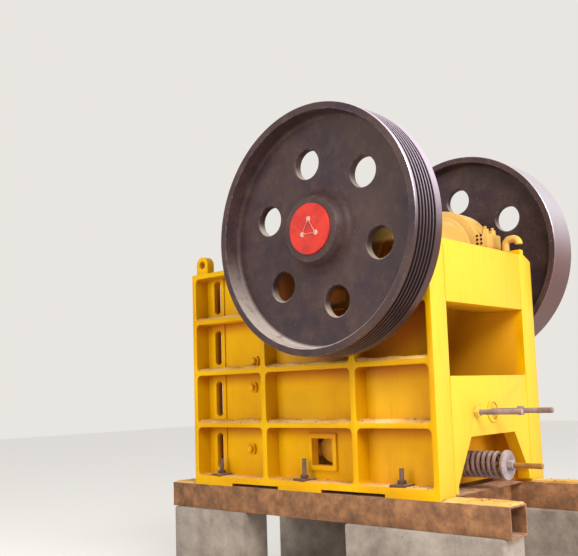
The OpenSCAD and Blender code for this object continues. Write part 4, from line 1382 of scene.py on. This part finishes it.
@dataclass
class DustHeap:
    """Stone dust heaped on the ledges of one side, with crumbs of 5 to 22 mm on it."""

    side: Side
    cell: float = 14.0
    crumbs_per_metre: float = 26.0
    rib_height: float = 30.0
    foot_height: float = 7.0
    beam_height: float = 14.0
    rib_lip_y: float = 765.0
    beam_lip_y: float = 758.0
    beam_back_y: float = 562.0
    beam_ends_u: tuple[tuple[float, float], ...] = ((-290, -10), (2450, 2930))

    def ledges(self) -> list[Ledge]:
        """Lists the ledges of one side frame and of its beam, from the foot up."""
        sign = self.side.value
        rib = (sign * self.rib_lip_y, sign * (WEB_OUT_Y - 1))
        found = [Ledge(u0, u1, *rib, FOOT_TOP_W, self.foot_height) for u0, u1 in BAYS_U]
        found += [Ledge(u0, u1, *rib, w, self.rib_height) for w in RIB_TOPS_W for u0, u1 in BAYS_U]
        beam = (sign * self.beam_lip_y, sign * self.beam_back_y)
        return found + [Ledge(u0, u1, *beam, 0, self.beam_height) for u0, u1 in self.beam_ends_u]

    def build(self) -> None:
        """Makes the dust and the crumbs as two pieces."""
        rng = random.Random(self.side.label)
        dust = Piece("dust_" + self.side.label, DUST, smooth_deg=80)
        crumbs = Piece("crumbs_" + self.side.label, STONE, smooth_deg=20)
        for ledge in self.ledges():
            dust.take(self.mound(ledge))
            for _ in range(max(3, int(ledge.length / 1000 * self.crumbs_per_metre))):
                self.crumb(crumbs, ledge, rng)
        dust.place()
        crumbs.place()

    def mound(self, ledge: Ledge) -> BMesh:
        """Raises a grid over a ledge to the height of its dust.

        Args:
            ledge: the ledge.

        Returns:
            The closed heap, in its place.
        """
        bm = bmesh.new()
        columns = max(4, int(ledge.length / self.cell))
        rows = max(4, int(ledge.width / self.cell))
        bmesh.ops.create_grid(bm, x_segments=columns, y_segments=rows, size=0.5)
        bmesh.ops.scale(bm, vec=(ledge.length, ledge.width, 1), verts=bm.verts)
        middle = ((ledge.u0 + ledge.u1) / 2, (ledge.back_y + ledge.lip_y) / 2, -2.0)
        bmesh.ops.translate(bm, vec=middle, verts=bm.verts)
        raised = bmesh.ops.extrude_face_region(bm, geom=bm.faces[:])
        for vert in raised["geom"]:
            if isinstance(vert, bmesh.types.BMVert):
                vert.co.z = ledge.rise(vert.co.x, vert.co.y)
        bmesh.ops.recalc_face_normals(bm, faces=bm.faces)
        where = stand_at(0, 0, ledge.w, Matrix.Diagonal((0.001, 0.001, 0.001, 1)))
        bmesh.ops.transform(bm, matrix=where, verts=bm.verts)
        return bm

    def crumb(self, crumbs: Piece, ledge: Ledge, rng: random.Random) -> None:
        """Drops one crumb on a ledge's dust."""
        size = 2.5 + 8.5 * rng.random() ** 3
        u = rng.uniform(ledge.u0, ledge.u1)
        y = rng.uniform(ledge.lip_y, ledge.back_y)
        spot = in_frame(u, y, ledge.w + ledge.rise(u, y) + size * 0.2)
        stone = bmesh.new()
        bmesh.ops.create_icosphere(stone, subdivisions=1, radius=size / 1000)
        shape = Matrix.Diagonal((rng.uniform(0.7, 1.3), rng.uniform(0.7, 1.2), rng.uniform(0.5, 0.9), 1))
        turn = Matrix.Rotation(rng.uniform(0, 6.28), 4, Vector((rng.random(), rng.random(), 1)))
        crumbs.take(stone, Matrix.Translation(spot) @ shape @ turn)


@dataclass
class WeldSeams:
    """Fillet welds where the cross members meet the side plates; uprights are place, foot and top."""

    bead_r: float = 9.0
    ripple: float = 7.0
    uprights: tuple[tuple[float, float, float], ...] = (
        (REAR_U - 2, 30, 828), (REAR_U - 2, 1352, 1752), (2, 80, 1796),
    )
    spring_gap_w: float = 831.0
    spring_gap_u: tuple[float, float] = (2342.0, 2436.0)

    def bead(self, start: Vector, end: Vector) -> BMesh:
        """Lays one rippled bead between two points."""
        length = (end - start).length * 1000
        outline = [(0.0, 0.0)]
        count = max(2, int(length / self.ripple))
        for i in range(count):
            z = length * i / count
            outline += [(self.bead_r * 0.86, z + self.ripple * 0.1), (self.bead_r, z + self.ripple * 0.5)]
        bead = turned(outline + [(0.0, length)], 8)
        bmesh.ops.transform(bead, matrix=between(start, end), verts=bead.verts)
        return bead

    def build(self) -> None:
        """Lays the seams on the rear and front faces."""
        seams = Piece("weld_seams", YELLOW, smooth_deg=60)
        for side in Side:
            y = side.value * PLATE_IN_Y
            for u, low, high in self.uprights:
                seams.take(self.bead(in_frame(u, y, low), in_frame(u, y, high)))
            ends = [in_frame(u, y, self.spring_gap_w) for u in self.spring_gap_u]
            seams.take(self.bead(*ends))
        seams.place()


def sides(*kinds: str) -> list[str]:
    """Gives the names of the near and the far node of each kind."""
    return [f"{kind}_{side.label}" for kind in kinds for side in Side]


# Nodes whose edges are broken: finish, body, width of the edge and names
EDGED = [
    (YELLOW, Body.FRAME, 4.0, [
        *sides("side_plate"), "front_wall", "rear_crossbeam", "rear_wall", "toggle_shelf",
        "spring_plate", *sides("lifting_lug"),
    ]),
    (YELLOW_CAST, Body.FRAME, 6.0, sides("bearing_housing", "bearing_cap", "bearing_cover")),
    (YELLOW_CAST, Body.PITMAN, 7.0, ["swing_jaw", *sides("barrel_cover")]),
    (YELLOW_CAST, Body.FRAME, 9.0, sides("rear_hook")),
    (WASHER, Body.PITMAN, 2.0, ["spring_washer"]),
    (STEEL, Body.FRAME, 3.0, ["toggle_plate", "toggle_seat"]),
    (STEEL, Body.PITMAN, 4.0, ["jaw_wedge"]),
    (MANGANESE, Body.FRAME, 4.0, ["fixed_jaw_plate", *sides("cheek_plate")]),
    (MANGANESE, Body.PITMAN, 4.0, ["moving_jaw_plate"]),
    (RUST, Body.FRAME, 3.0, [*sides("base_beam"), "cross_beam_front", "cross_beam_rear"]),
    (CONCRETE, Body.FRAME, 14.0, [f"pier_{side.label}_{end}" for side in Side for end in ("front", "rear")]),
]

# Nodes that show as they are
PLAIN = {
    RED: sides("shaft_cap"),
    STEEL: ["eccentric_shaft"],
}


def paint_nodes() -> None:
    """Gives every CAD node that still shows its finish."""
    for finish, names in PLAIN.items():
        material = finish.build()
        for name in names:
            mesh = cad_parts[name].data
            mesh.materials.clear()
            mesh.materials.append(material)
        LOG.info("%s on %d nodes", finish.name, len(names))


def main() -> None:
    """Builds the stage and the machine in order."""
    logging.basicConfig(level=logging.INFO, format="%(name)s: %(message)s")
    Studio().build()
    paint_nodes()
    for finish, body, edge, names in EDGED:
        for name in names:
            EdgedNode(name, finish, body, edge).build()
    Wheel(Side.NEAR, IRON, grooved=True, first_hole_deg=43).build()
    Wheel(Side.FAR, IRON_TURNED, grooved=False, first_hole_deg=34).build()
    CoilSpring().build()
    RearScrews().build()
    TensionRod().build()
    WeldSeams().build()
    for side in Side:
        ShaftCap(side).build()
        SideFasteners(side).build()
        DustHeap(side).build()


if __name__ == "__main__":
    main()
